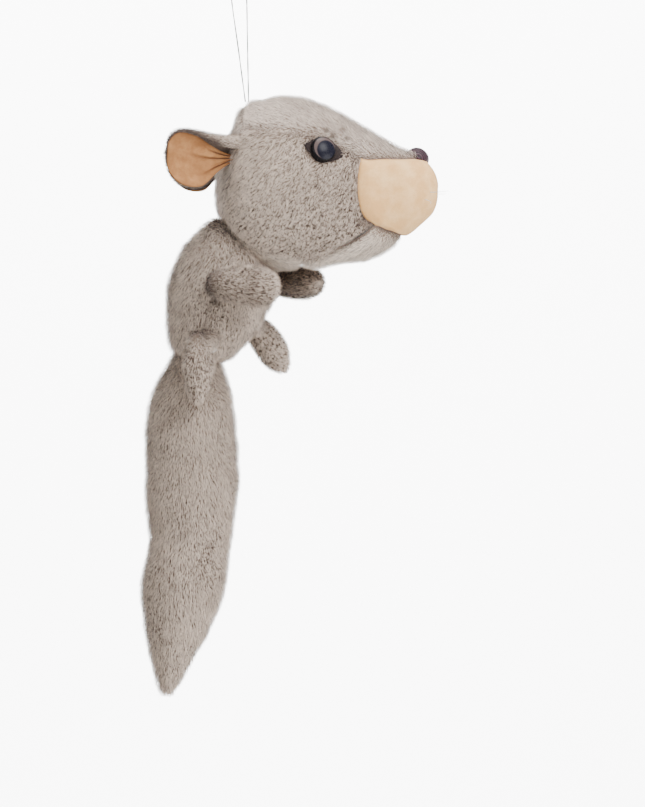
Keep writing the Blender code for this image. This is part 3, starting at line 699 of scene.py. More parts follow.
@dataclass
class Skin:
    """A sheet of fabric laid on a form: a grid of points, open or closed round the form.

    Attributes:
        name: The piece's name.
        points: The grid of points, before it is worked.
        inside: A point inside the form, so that the faces look away from it.
        wrap: Whether the grid's second index closes on itself.
        trim: Length of the fibres at each point, from 0 to 1.
        tone: How dark the fibres are at each point, from 0 to 1, in places painted shade.
        worn: How far the fibres part and show their roots at each point, from 0 to 1.
    """

    name: str
    points: Array
    inside: Array
    wrap: bool = False
    trim: Array = field(init=False)
    tone: Array = field(init=False)
    worn: Array = field(init=False)

    def __post_init__(self) -> None:
        """Starts with full fibres, evenly brushed and without dark places."""
        self.trim = np.ones(self.points.shape[:2])
        self.tone = np.zeros(self.points.shape[:2])
        self.worn = np.full(self.points.shape[:2], 0.35)

    def outward(self) -> Array:
        """The normals, looking away from the inside.

        Returns:
            A unit normal for each point.
        """
        found = surface_normals(self.points, self.wrap)
        middle = self.points.shape[0] // 2
        facing = np.sum(found * (self.points - self.inside), axis=-1)
        return -found if np.sum(facing[middle]) < 0 else found

    def push(self, distance: Array) -> None:
        """Moves the points outwards by a distance each."""
        self.points = self.points + self.outward() * np.asarray(distance)[..., None]

    def sew_edges(self, depth: float, reach: float, shortest: float) -> None:
        """Draws the edges in as a seam does, and shortens the fibres there.

        Args:
            depth: How far the seam pulls the sheet in.
            reach: How far from the seam that is felt.
            shortest: Length of the fibres on the seam, from 0 to 1.
        """
        distance = edge_distance(self.points, self.wrap)
        self.push(-depth * np.exp(-((distance / reach) ** 2)))
        self.trim = np.minimum(self.trim, mix(shortest, 1.0, ease(0.0, reach * 1.4, distance)))

    def darken(self, spots: Sequence[tuple[float, float, float]], amount: float) -> None:
        """Darkens the fibres round some places.

        Args:
            spots: X, Z and radius of each place.
            amount: How dark the middle of each becomes.
        """
        for x, z, radius in spots:
            away = np.hypot(self.points[..., 0] - x, self.points[..., 2] - z)
            self.tone = np.maximum(self.tone, amount * (1 - ease(radius * 0.4, radius, away)))

    def mesh(self, cap_start: bool = False, cap_end: bool = False) -> bpy.types.Mesh:
        """Builds the sheet's mesh.

        Args:
            cap_start: Whether the first row is closed to a point.
            cap_end: Whether the last row is closed to a point.

        Returns:
            The mesh, with its fibre lengths and tones stored.
        """
        rows, columns = self.points.shape[:2]
        verts = [tuple(point) for point in self.points.reshape(-1, 3)]
        told = {key: list(getattr(self, key).ravel()) for key in ("trim", "tone", "worn")}
        faces = []
        for row in range(rows - 1):
            for column in range(columns if self.wrap else columns - 1):
                after = (column + 1) % columns
                faces.append((row * columns + column, row * columns + after, (row + 1) * columns + after,
                              (row + 1) * columns + column))
        for wanted, row in ((cap_start, 0), (cap_end, rows - 1)):
            if wanted:
                verts.append(tuple(self.points[row].mean(axis=0)))
                for key, values in told.items():
                    values.append(float(getattr(self, key)[row].mean()))
                for column in range(columns):
                    pair = (row * columns + (column + 1) % columns, row * columns + column)
                    faces.append((*(pair if row == 0 else pair[::-1]), len(verts) - 1))
        found = bpy.data.meshes.new(self.name)
        found.from_pydata(verts, [], faces)
        found.update()
        inside = Vector(self.inside)
        facing = sum((face.normal.dot(face.center - inside) * face.area) for face in found.polygons)
        if facing < 0:
            found.flip_normals()
        for key, values in told.items():
            store(found, key, values)
        return found


def grid_of(place: Place, cells: tuple[int, int], wrap: bool = False) -> Array:
    """Points of a place function over the unit square.

    Args:
        place: Gives points for arrays of u and v.
        cells: How many cells along and across.
        wrap: Whether v closes on itself, so that its last column is left out.

    Returns:
        The grid of points.
    """
    u = np.linspace(0, 1, cells[0] + 1)
    v = np.linspace(0, 1, cells[1] + 1)
    if wrap:
        v = v[:-1]
    return place(*np.meshgrid(u, v, indexing="ij"))


def disc(u: Array, v: Array) -> tuple[Array, Array]:
    """Points of the unit disc for points of the unit square."""
    a, b = 2 * u - 1, 2 * v - 1
    return a * np.sqrt(1 - b * b / 2), b * np.sqrt(1 - a * a / 2)


# ---- Fibres --------------------------------------------------------------------------------------
class CoatTree(Nodes):
    """Geometry nodes that grow fibres on a skin."""

    def __init__(self) -> None:
        """Builds the tree with its inputs."""
        self.tree = bpy.data.node_groups.new("fibre_coat", "GeometryNodeTree")
        face = self.tree.interface
        face.new_socket("Geometry", in_out="INPUT", socket_type="NodeSocketGeometry")
        for name in ("Density", "Length", "Width", "Clump", "Ruffle", "Rise"):
            face.new_socket(name, in_out="INPUT", socket_type="NodeSocketFloat")
        face.new_socket("Pile", in_out="INPUT", socket_type="NodeSocketVector")
        face.new_socket("Seed", in_out="INPUT", socket_type="NodeSocketInt")
        face.new_socket("Finish", in_out="INPUT", socket_type="NodeSocketMaterial")
        face.new_socket("Geometry", in_out="OUTPUT", socket_type="NodeSocketGeometry")
        self.keys = {item.name: item.identifier for item in face.items_tree if item.in_out == "INPUT"}
        self.source = self.node("NodeGroupInput").outputs
        strand = self.fibre()
        self.plant(strand)

    def vector(self, operation: str, first: Feed, second: Feed = (0.0, 0.0, 0.0),
               scale: Feed = 1.0) -> Socket:
        """The result of one Vector Math node."""
        inputs = {0: first, 3: scale} if operation == "SCALE" else {0: first, 1: second}
        return self.node("ShaderNodeVectorMath", {"operation": operation}, inputs).outputs[0]

    def keep(self, geometry: Socket, name: str, value: Socket, domain: str = "POINT",
             kind: str = "FLOAT") -> Socket:
        """Stores a named attribute.

        Args:
            geometry: The geometry to store it on.
            name: The attribute's name.
            value: Its value.
            domain: What each value belongs to.
            kind: The value's type.

        Returns:
            The geometry that holds it.
        """
        made = self.node("GeometryNodeStoreNamedAttribute", {"data_type": kind, "domain": domain},
                         {"Geometry": geometry, "Name": name})
        socket = next(s for s in made.inputs if s.name == "Value" and s.enabled)
        self.tree.links.new(value, socket)
        return made.outputs[0]

    def read(self, name: str) -> Socket:
        """A stored number."""
        made = self.node("GeometryNodeInputNamedAttribute", {"data_type": "FLOAT"}, {"Name": name})
        return made.outputs[0]

    def chance(self, low: float, high: float, seed: int) -> Socket:
        """A random number for each point."""
        made = self.node("FunctionNodeRandomValue", {"data_type": "FLOAT"}, {2: low, 3: high, "Seed": seed})
        return made.outputs[1]

    def fibre(self) -> Socket:
        """One flat tapered fibre that leans over towards +Y.

        Returns:
            The fibre's geometry.
        """
        blade = self.node("GeometryNodeMeshGrid", None,
                          {"Size X": 1.0, "Size Y": 1.0, "Vertices X": 2, "Vertices Y": 4})
        corner = self.node("GeometryNodeInputPosition").outputs[0]
        place = self.node("ShaderNodeSeparateXYZ", None, {0: corner})
        along = self.math("ADD", place.outputs[1], 0.5)
        kept = self.keep(blade.outputs["Mesh"], "along", along)
        kept = self.keep(kept, "across", place.outputs[0])
        narrow = self.math("SUBTRACT", 1.0, self.math("MULTIPLY", along, 0.8))
        across = self.math("MULTIPLY", place.outputs[0], narrow)
        ahead = self.math("MULTIPLY", along, self.math("ADD", 0.25, self.math("MULTIPLY", along, 0.5)))
        rise = self.math("MULTIPLY", along, self.math("SUBTRACT", 1.0, self.math("MULTIPLY", along, 0.38)))
        bent = self.node("ShaderNodeCombineXYZ", None, {0: across, 1: ahead, 2: rise})
        moved = self.node("GeometryNodeSetPosition", None, {"Geometry": kept, "Position": bent.outputs[0]})
        return moved.outputs[0]

    def plant(self, strand: Socket) -> None:
        """Sets the fibre on points of the skin, and finishes the geometry.

        Args:
            strand: The fibre's geometry.
        """
        source = self.source
        points = self.node("GeometryNodeDistributePointsOnFaces", {"distribute_method": "RANDOM"},
                           {"Mesh": source["Geometry"], "Density": source["Density"], "Seed": source["Seed"]})
        place = self.node("GeometryNodeInputPosition").outputs[0]
        swirl = self.node("ShaderNodeTexNoise", None, {"Vector": place, "Scale": 95.0, "Detail": 2.0})
        swirl = self.vector("SUBTRACT", swirl.outputs["Color"], (0.5, 0.5, 0.5))
        swirl = self.vector("SCALE", swirl, scale=source["Clump"])
        stray = self.node("FunctionNodeRandomValue", {"data_type": "FLOAT_VECTOR"}, {"Seed": 7})
        stray.inputs[0].default_value, stray.inputs[1].default_value = (-1, -1, -1), (1, 1, 1)
        stray = self.vector("SCALE", stray.outputs[0], scale=source["Ruffle"])
        lay = self.vector("ADD", self.vector("ADD", source["Pile"], swirl), stray)
        upright = self.node("FunctionNodeAlignRotationToVector", {"axis": "Z"},
                            {"Vector": self.vector("ADD", points.outputs["Normal"],
                                                   self.vector("SCALE", stray, scale=0.5))})
        turned = self.node("FunctionNodeAlignRotationToVector", {"axis": "Y", "pivot_axis": "Z"},
                           {"Rotation": upright.outputs[0], "Vector": lay})
        length = self.math("MULTIPLY", self.math("MULTIPLY", source["Length"], self.read("trim")),
                           self.chance(0.72, 1.12, 3))
        size = self.node("ShaderNodeCombineXYZ", None,
                         {0: source["Width"], 1: length, 2: self.math("MULTIPLY", length, source["Rise"])})
        planted = self.node("GeometryNodeInstanceOnPoints", None,
                            {"Points": points.outputs[0], "Instance": strand, "Rotation": turned.outputs[0],
                             "Scale": size.outputs[0]})
        kept = self.keep(planted.outputs[0], "strand", self.chance(0.0, 1.0, 11), "INSTANCE")
        real = self.node("GeometryNodeRealizeInstances", None, {"Geometry": kept})
        across = self.math("ADD", self.math("MULTIPLY", self.read("across"), 0.02),
                           self.math("ADD", 0.02, self.math("MULTIPLY", self.read("strand"), 0.96)))
        up = self.math("ADD", 0.01, self.math("MULTIPLY", self.read("along"), 0.98))
        laid = self.node("ShaderNodeCombineXYZ", None, {0: across, 1: up})
        mapped = self.keep(real.outputs[0], "OFBake", laid.outputs[0], "CORNER", "FLOAT2")
        dressed = self.node("GeometryNodeSetMaterial", None,
                            {"Geometry": mapped, "Material": source["Finish"]})
        self.node("NodeGroupOutput", None, {0: dressed.outputs[0]})


@dataclass(frozen=True)
class Coat:
    """How a coat of fibres grows.

    Attributes:
        density: Fibres to the square metre.
        length: Length of a fibre, in metres.
        width: Width of a fibre at its root, in metres.
        clump: How much neighbouring fibres lean together.
        ruffle: How much single fibres stray.
        rise: How upright the fibres stand, where 1 is as they grow.
    """

    density: float = 1.25e6
    length: float = 0.0068
    width: float = 0.00055
    clump: float = 2.2
    ruffle: float = 0.35
    rise: float = 1.0

    def grow(self, tree: CoatTree, name: str, skin: bpy.types.Object, pile: Sequence[float], seed: int,
             finish: bpy.types.Material) -> bpy.types.Object:
        """Grows the coat on a skin.

        Args:
            tree: The geometry nodes.
            name: The coat's name.
            skin: The skin that it grows on.
            pile: The way the fibres lie.
            seed: Picks where the fibres stand.
            finish: The fibres' material.

        Returns:
            The coat as a plain mesh object.
        """
        source = bpy.data.objects.new(f"{name}_source", skin.data.copy())
        bpy.context.scene.collection.objects.link(source)
        grower = source.modifiers.new("coat", "NODES")
        grower.node_group = tree.tree
        share = 1.0
        values = {"Density": self.density * share, "Length": self.length,
                  "Width": self.width / share ** 0.5, "Clump": self.clump, "Ruffle": self.ruffle,
                  "Rise": self.rise, "Pile": tuple(pile), "Seed": seed, "Finish": finish}
        for key, value in values.items():
            grower[tree.keys[key]] = value
        bpy.context.view_layer.update()
        graph = bpy.context.evaluated_depsgraph_get()
        grown = bpy.data.meshes.new_from_object(source.evaluated_get(graph))
        bpy.data.objects.remove(source, do_unlink=True)
        grown.name = name
        made = add_piece(name, grown, finish)
        LOG.info("%s: %d fibres", name, len(grown.polygons) // 3)
        return made


class Wardrobe:
    """Every finish and the geometry nodes of the fur, built once."""

    def __init__(self) -> None:
        """Builds the finishes."""
        self.fur = FurFibres("grey_beige_fur_fibres").build()
        self.smooth_fur = FurFibres("brushed_fur_fibres", (216, 200, 186), (106, 86, 73), parting=0.7).build()
        self.pale_fur = FurFibres("pale_fur_fibres", (236, 221, 205), (164, 143, 125), parting=0.5).build()
        self.backing = FurBacking("fur_backing").build()
        self.velour = Velour("beige_velour_pile").build()
        self.lining = Velour("ear_lining_velour_pile", (166, 118, 75), (138, 94, 57), (74, 41, 22)).build()
        self.satin = RibbedSatin("maroon_ribbed_satin").build()
        self.enamel = EyeEnamel("eye_enamel").build()
        self.felt = Felt("dark_matted_felt").build()
        self.yarn = TwistedYarn("dark_twisted_yarn").build()
        self.filling = Fibrefill("white_fibrefill").build()
        self.washer = MouldedPlastic("washer_plastic", (232, 232, 228), 0.45).build()
        self.nylon = MouldedPlastic("pale_nylon", (236, 232, 224), 0.3, 0.3).build()
        self.coat = CoatTree()


def settle(piece: bpy.types.Object, body: str, slot: str, *nodes: str) -> bpy.types.Object:
    """Puts a piece on its body and in the place of its nodes.

    Args:
        piece: The piece.
        body: The body that it rides on.
        slot: The record's slot that it belongs to; not used.
        nodes: The nodes that it stands for.

    Returns:
        The same piece.
    """
    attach(piece, body)
    if nodes:
        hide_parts(*nodes)
    LOG.info("%s rides on %s", piece.name, body)
    return piece


# ---- Head ----------------------------------------------------------------------------------------
@dataclass(frozen=True)
class HeadForm:
    """The head's shape: sections along X, each a full rounded oval.

    Attributes:
        length: Length of the head's cloth.
        height: What the outlines' heights are shares of.
        width: Full width at the widest section.
        fullness: Exponent of the section, where 2 is an ellipse.
        crown: Where the cord leaves, along the head.
        top: Heights of the upper outline.
        under: Heights of the lower outline.
        plan: Half widths, seen from above.
    """

    length: float = 0.187
    height: float = 0.144
    width: float = 0.122
    fullness: float = 2.25
    crown: float = 0.137
    top: Profile = Profile([
        (0, 0), (0.003, 0.11), (0.047, 0.28), (0.088, 0.40), (0.112, 0.485), (0.145, 0.52), (0.21, 0.53),
        (0.2925, 0.554), (0.4235, 0.535), (0.557, 0.465), (0.667, 0.377), (0.815, 0.265), (0.911, 0.21),
        (0.967, 0.142), (0.991, 0.083), (1, 0)])
    under: Profile = Profile([
        (0, 0), (0.003, -0.076), (0.0235, -0.163), (0.061, -0.269), (0.098, -0.346), (0.156, -0.398),
        (0.24, -0.437), (0.308, -0.445), (0.404, -0.43), (0.553, -0.389), (0.666, -0.366),
        (0.734, -0.333), (0.808, -0.276), (0.874, -0.233), (0.946, -0.156), (0.979, -0.108), (1, 0)])
    plan: Profile = Profile([
        (0, 0), (0.004, 0.18), (0.02, 0.40), (0.06, 0.66), (0.13, 0.88), (0.22, 0.985), (0.32, 1.0),
        (0.44, 0.93), (0.55, 0.80), (0.65, 0.69), (0.74, 0.62), (0.83, 0.565), (0.90, 0.48),
        (0.955, 0.35), (0.985, 0.21), (1, 0)])

    @property
    def back(self) -> Array:
        """The rearmost point of the head."""
        rise = self.top(self.crown) * self.height
        return PIVOTS["loop_swing"] - np.array([self.crown * self.length, 0, rise])

    @property
    def middle(self) -> Array:
        """A point well inside the head."""
        return self.back + np.array([self.length * 0.4, 0, 0])

    def section(self, along: Array) -> tuple[Array, Array, Array]:
        """Height of the middle, half height and half width of a section."""
        top, under = self.top(along) * self.height, self.under(along) * self.height
        return (top + under) / 2, (top - under) / 2, self.plan(along) * self.width / 2

    def point(self, along: Array, turn: Array) -> Array:
        """Points on the head's cloth.

        Args:
            along: Fractions along the head.
            turn: Turns from the top, positive to the left.

        Returns:
            The points.
        """
        middle, tall, wide = self.section(along)
        up, out = np.cos(turn), np.sin(turn)
        reach = ((np.abs(up) / np.maximum(tall, 1e-6)) ** self.fullness
                 + (np.abs(out) / np.maximum(wide, 1e-6)) ** self.fullness) ** (-1 / self.fullness)
        ahead = along * self.length + 0 * turn
        return self.back + np.stack([ahead, reach * out, middle + reach * up], axis=-1)

    def turn_at(self, along: Array, level: Array) -> Array:
        """The turn at which a section reaches a level.

        Args:
            along: Fractions along the head.
            level: From -1 at the underside to 1 at the top.

        Returns:
            The turns.
        """
        _, tall, wide = self.section(along)
        level = np.clip(level, -1, 1)
        return np.arctan2(wide * (1 - np.abs(level) ** self.fullness) ** (1 / self.fullness), level * tall)

    def seat(self, along: float, turn: float, lift: float) -> Matrix:
        """A frame on the cloth: Z outwards and X towards the muzzle.

        Args:
            along: Fraction along the head.
            turn: Turn from the top.
            lift: How far above the cloth the frame sits.

        Returns:
            The frame's matrix.
        """
        step = 0.004
        spots = self.point(np.array([along + step, along - step, along, along]),
                           np.array([turn, turn, turn + step, turn - step]))
        ahead, round_ = Vector(spots[0] - spots[1]), Vector(spots[2] - spots[3])
        place = Vector(self.point(np.array([along]), np.array([turn]))[0])
        normal = ahead.cross(round_).normalized()
        if normal.dot(place - Vector(self.middle)) < 0:
            normal.negate()
        forward = (ahead - normal * ahead.dot(normal)).normalized()
        matrix = Matrix((forward, normal.cross(forward), normal)).transposed().to_4x4()
        matrix.translation = place + normal * lift
        return matrix

    def at(self, x: Array, z: Array, sign: int, lift: Array) -> Array:
        """Points on one side of the cloth at given X and Z.

        Args:
            x: X of each point.
            z: Z of each point.
            sign: The sign of Y on that side.
            lift: How far above the cloth each point sits.

        Returns:
            The points.
        """
        along = (x - self.back[0]) / self.length
        middle, tall, _ = self.section(along)
        turn = sign * self.turn_at(along, (z - self.back[2] - middle) / tall)
        here = self.point(along, turn)
        normal = np.cross(self.point(along + 0.004, turn) - here, self.point(along, turn + 0.004) - here)
        normal /= np.linalg.norm(normal, axis=-1, keepdims=True)
        facing = np.sign(np.sum(normal * (here - self.middle), axis=-1, keepdims=True))
        return here + normal * facing * np.asarray(lift)[..., None]


@dataclass(frozen=True)
class HeadSeams:
    """Where the head's panels meet.

    Attributes:
        form: The head's shape.
        forehead: Level of the seam over each cheek, at fractions along the head.
        jaw: Level of the seam under each cheek.
        back: Where the back-of-head panel ends, at degrees from the top.
        muzzle: Where a cheek ends and its muzzle patch begins, from the forehead seam down to the jaw.
        chin_start: Where the neck strip ends and the chin begins.
        chin_end: Where the chin ends.
        forehead_end: Where the forehead ends, at the nose.
    """

    form: HeadForm = HeadForm()
    forehead: Profile = Profile([
        (0, 0.70), (0.12, 0.66), (0.24, 0.62), (0.40, 0.58), (0.48, 0.60), (0.575, 0.55), (0.655, 0.49),
        (0.77, 0.66), (0.86, 0.82), (0.91, 0.92), (0.945, 1.0), (1, 1.0)])
    jaw: Profile = Profile([
        (0, -0.70), (0.06, -0.74), (0.13, -0.79), (0.24, -0.85), (0.34, -0.92), (0.40, -0.955),
        (0.49, -0.94), (0.57, -0.878), (0.67, -0.71), (0.72, -0.61), (0.785, -0.80), (0.86, -1.0),
        (1, -1.0)])
    back: Profile = Profile([(0, 0.137), (50, 0.115), (90, 0.06), (130, 0.038), (180, 0.028)])
    muzzle: Profile = Profile([(0, 0.655), (0.2, 0.642), (0.5, 0.642), (0.75, 0.665), (1, 0.722)])
    chin_start: float = 0.38
    chin_end: float = 0.848
    forehead_end: float = 0.932

    def forehead_turn(self, along: Array) -> Array:
        """Turn of the seam between the forehead and a cheek."""
        return self.form.turn_at(along, self.forehead(along))

    def jaw_turn(self, along: Array) -> Array:
        """Turn of the seam between a cheek and the underside."""
        return self.form.turn_at(along, self.jaw(along))

    def far_jaw_turn(self, along: Array) -> Array:
        """Turn of the other side's jaw seam, past the underside."""
        return 2 * math.pi - self.jaw_turn(along)

    def back_edge(self, low: Callable, high: Callable, share: Array) -> Array:
        """Where the back-of-head panel ends between two seams.

        Args:
            low: Turn of the first seam, along the head.
            high: Turn of the second seam.
            share: How far to go from the first to the second.

        Returns:
            Fractions along the head.
        """
        along = np.full(np.shape(share), 0.08)
        for _ in range(6):
            degrees = np.degrees(np.abs(mix(low(along), high(along), share)))
            along = self.back(np.minimum(degrees, 360 - degrees))
        return along

    def on_forehead(self, u: Array, v: Array) -> Array:
        """Points of the forehead panel.

        Args:
            u: Fractions along.
            v: Fractions across.

        Returns:
            The points.
        """
        start = self.back_edge(lambda a: -self.forehead_turn(a), self.forehead_turn, v)
        along = mix(start, self.forehead_end, u)
        return self.form.point(along, mix(-self.forehead_turn(along), self.forehead_turn(along), v))

    def on_underside(self, from_back: bool) -> Place:
        """The place function of the underside.

        Args:
            from_back: Whether it is for the neck strip, and not for the chin panel.

        Returns:
            The place function.
        """
        def place(u: Array, v: Array) -> Array:
            """Points of the panel.

            Args:
                u: Fractions along.
                v: Fractions across.

            Returns:
                The points.
            """
            start = self.back_edge(self.jaw_turn, self.far_jaw_turn, v) if from_back else self.chin_start
            along = mix(start, self.chin_start if from_back else self.chin_end, u)
            return self.form.point(along, mix(self.jaw_turn(along), self.far_jaw_turn(along), v))
        return place

    def on_back(self, u: Array, v: Array) -> Array:
        """Points of the back-of-head panel.

        Args:
            u: Fractions along.
            v: Fractions across.

        Returns:
            The points.
        """
        x, y = disc(u, v)
        turn = np.arctan2(y, x)
        edge = np.arccos(1 - 2 * self.back(np.abs(np.degrees(turn))))
        return self.form.point((1 - np.cos(edge * np.hypot(x, y))) / 2, turn)

    def on_cheek(self, side: Side) -> Place:
        """The place function of a cheek panel.

        Args:
            side: The side of the head.

        Returns:
            The place function.
        """
        def place(u: Array, v: Array) -> Array:
            """Points of the panel."""
            along = mix(self.back_edge(self.forehead_turn, self.jaw_turn, v), self.muzzle(v), u)
            return self.form.point(along, side.sign * mix(self.forehead_turn(along), self.jaw_turn(along), v))
        return place

    def on_muzzle(self, side: Side) -> Place:
        """The place function of a muzzle patch.

        Args:
            side: The side of the head.

        Returns:
            The place function.
        """
        def place(u: Array, v: Array) -> Array:
            """Points of the patch."""
            along = mix(self.muzzle(v), 0.9995, 1 - (1 - u) ** 1.8)
            return self.form.point(along, side.sign * mix(self.forehead_turn(along), self.jaw_turn(along), v))
        return place


@dataclass
class Head:
    """The furred head: five panels of fur fabric and the two velour patches of the muzzle.

    Attributes:
        wardrobe: The finishes.
        seams: Where the panels meet.
        seam_depth: How far a seam pulls the cloth in.
        eye: X and Z of the eyes, where the fur is clipped short.
    """

    wardrobe: Wardrobe
    seams: HeadSeams = HeadSeams()
    seam_depth: float = 0.0022
    eye: tuple[float, float] = (0.0715, -0.1405)

    def dress(self) -> None:
        """Builds every panel of the head."""
        plain = Coat()
        sleek = Coat(density=1.2e6, length=0.0062, clump=1.1, ruffle=0.2, rise=0.8)
        worn = self.wardrobe
        self.furred("head_forehead", self.seams.on_forehead, (110, 60), "head_forehead_panel", sleek,
                    worn.smooth_fur, FUR_SLOT, 21, (-1.0, 0.0, 0.2))
        self.furred("head_back", self.seams.on_back, (50, 50), "head_back_panel", sleek, worn.smooth_fur,
                    FUR_SLOT, 22, (-0.6, 0.0, -1.0))
        self.furred("head_neck_band", self.seams.on_underside(True), (50, 40), "head_neck_strip", sleek,
                    worn.pale_fur, "pale_fur", 23, (1.0, 0.0, -0.3))
        self.furred("head_chin", self.seams.on_underside(False), (60, 50), "chin_panel", sleek, worn.pale_fur,
                    "pale_fur", 24, (-1.0, 0.0, -0.4), 0.0042)
        for side in Side:
            self.furred(f"head_cheek_{side.label}", self.seams.on_cheek(side), (100, 90),
                        f"head_cheek_panel_{side.label}", plain, worn.fur, FUR_SLOT, 25 + side.sign,
                        (-0.7, 0.0, -0.8))
            self.muzzle(side)

    def furred(self, name: str, place: Place, cells: tuple[int, int], node: str, coat: Coat,
               finish: bpy.types.Material, slot: str, seed: int, pile: Sequence[float],
               plump: float = 0.0) -> None:
        """Builds one panel of fur fabric and its coat.

        Args:
            name: The panel's name.
            place: Its place function.
            cells: Cells along and across.
            node: The plain panel that it takes the place of.
            coat: How its fur grows.
            finish: The fur's material.
            slot: The record's slot.
            seed: Picks the fur's pattern.
            pile: The way the fur lies.
            plump: How far the stuffing swells the panel between its seams.
        """
        skin = Skin(f"{name}_skin", grid_of(place, cells), self.seams.form.middle)
        skin.push(lumps(skin.points, 0.030, 0.0011, 3.1))
        away = edge_distance(skin.points, False)
        skin.push(plump * ease(0.0, 0.016, away))
        skin.sew_edges(self.seam_depth, 0.0035, 0.40)
        x, z = skin.points[..., 0], skin.points[..., 2]
        from_eye = np.hypot((x - self.eye[0]) / 0.0155, (z - self.eye[1]) / 0.0098)
        skin.trim = np.minimum(skin.trim, mix(0.12, 1.0, ease(0.80, 1.35, from_eye)))
        if node == "head_forehead_panel":
            skin.tone = np.maximum(skin.tone, 0.55 * (1 - ease(0.0, 0.0040, away)) * ease(0.085, 0.105, x))
        if node == "chin_panel":
            low = ease(0.03, 0.06, x)
            skin.tone = np.maximum(skin.tone, 0.8 * low * (1 - ease(0.0005, 0.0035, away)))
            skin.trim = np.minimum(skin.trim, mix(1.0, mix(0.10, 1.0, ease(0.0010, 0.0060, away)), low))
        skin.darken([(0.0757, -0.1245, 0.0028), (0.0815, -0.1285, 0.0036), (0.0894, -0.1245, 0.0026),
                     (0.0930, -0.1315, 0.0022)], 0.8)
        if node.startswith("head_cheek"):
            low = ease(-0.185, -0.215, z) * ease(0.01, 0.05, x)
            skin.tone = np.maximum(skin.tone, low * (1 - ease(0.0015, 0.0085, away)))
            skin.trim = np.minimum(skin.trim, mix(1.0, mix(0.10, 1.0, ease(0.0015, 0.0095, away)), low))
            skin.push(-0.0016 * low * np.exp(-((away / 0.003) ** 2)))
            skin.worn = mix(0.55, 1.0, ease(-0.150, -0.225, z)) * mix(0.75, 1.0, ease(0.0, 0.07, x))
        cloth = settle(add_piece(skin.name, skin.mesh(), self.wardrobe.backing), "head", slot, node)
        settle(coat.grow(self.wardrobe.coat, f"{name}_fur", cloth, pile, seed, finish), "head", slot)

    def muzzle(self, side: Side) -> None:
        """Builds the velour patch of one side of the muzzle.

        Args:
            side: The side of the muzzle.
        """
        skin = Skin(f"muzzle_{side.label}_velour", grid_of(self.seams.on_muzzle(side), (70, 70)),
                    self.seams.form.middle)
        away = edge_distance(skin.points, False)
        skin.push(0.0026 * ease(0.0, 0.010, away) + lumps(skin.points, 0.035, 0.0006, 9.4))
        skin.push(-0.0012 * np.exp(-((away / 0.0015) ** 2)))
        skin.tone = 0.5 * (1 - ease(0.0002, 0.0020, away))
        patch = settle(add_piece(skin.name, skin.mesh(), self.wardrobe.velour), "head", "beige_velour",
                       f"muzzle_patch_{side.label}")


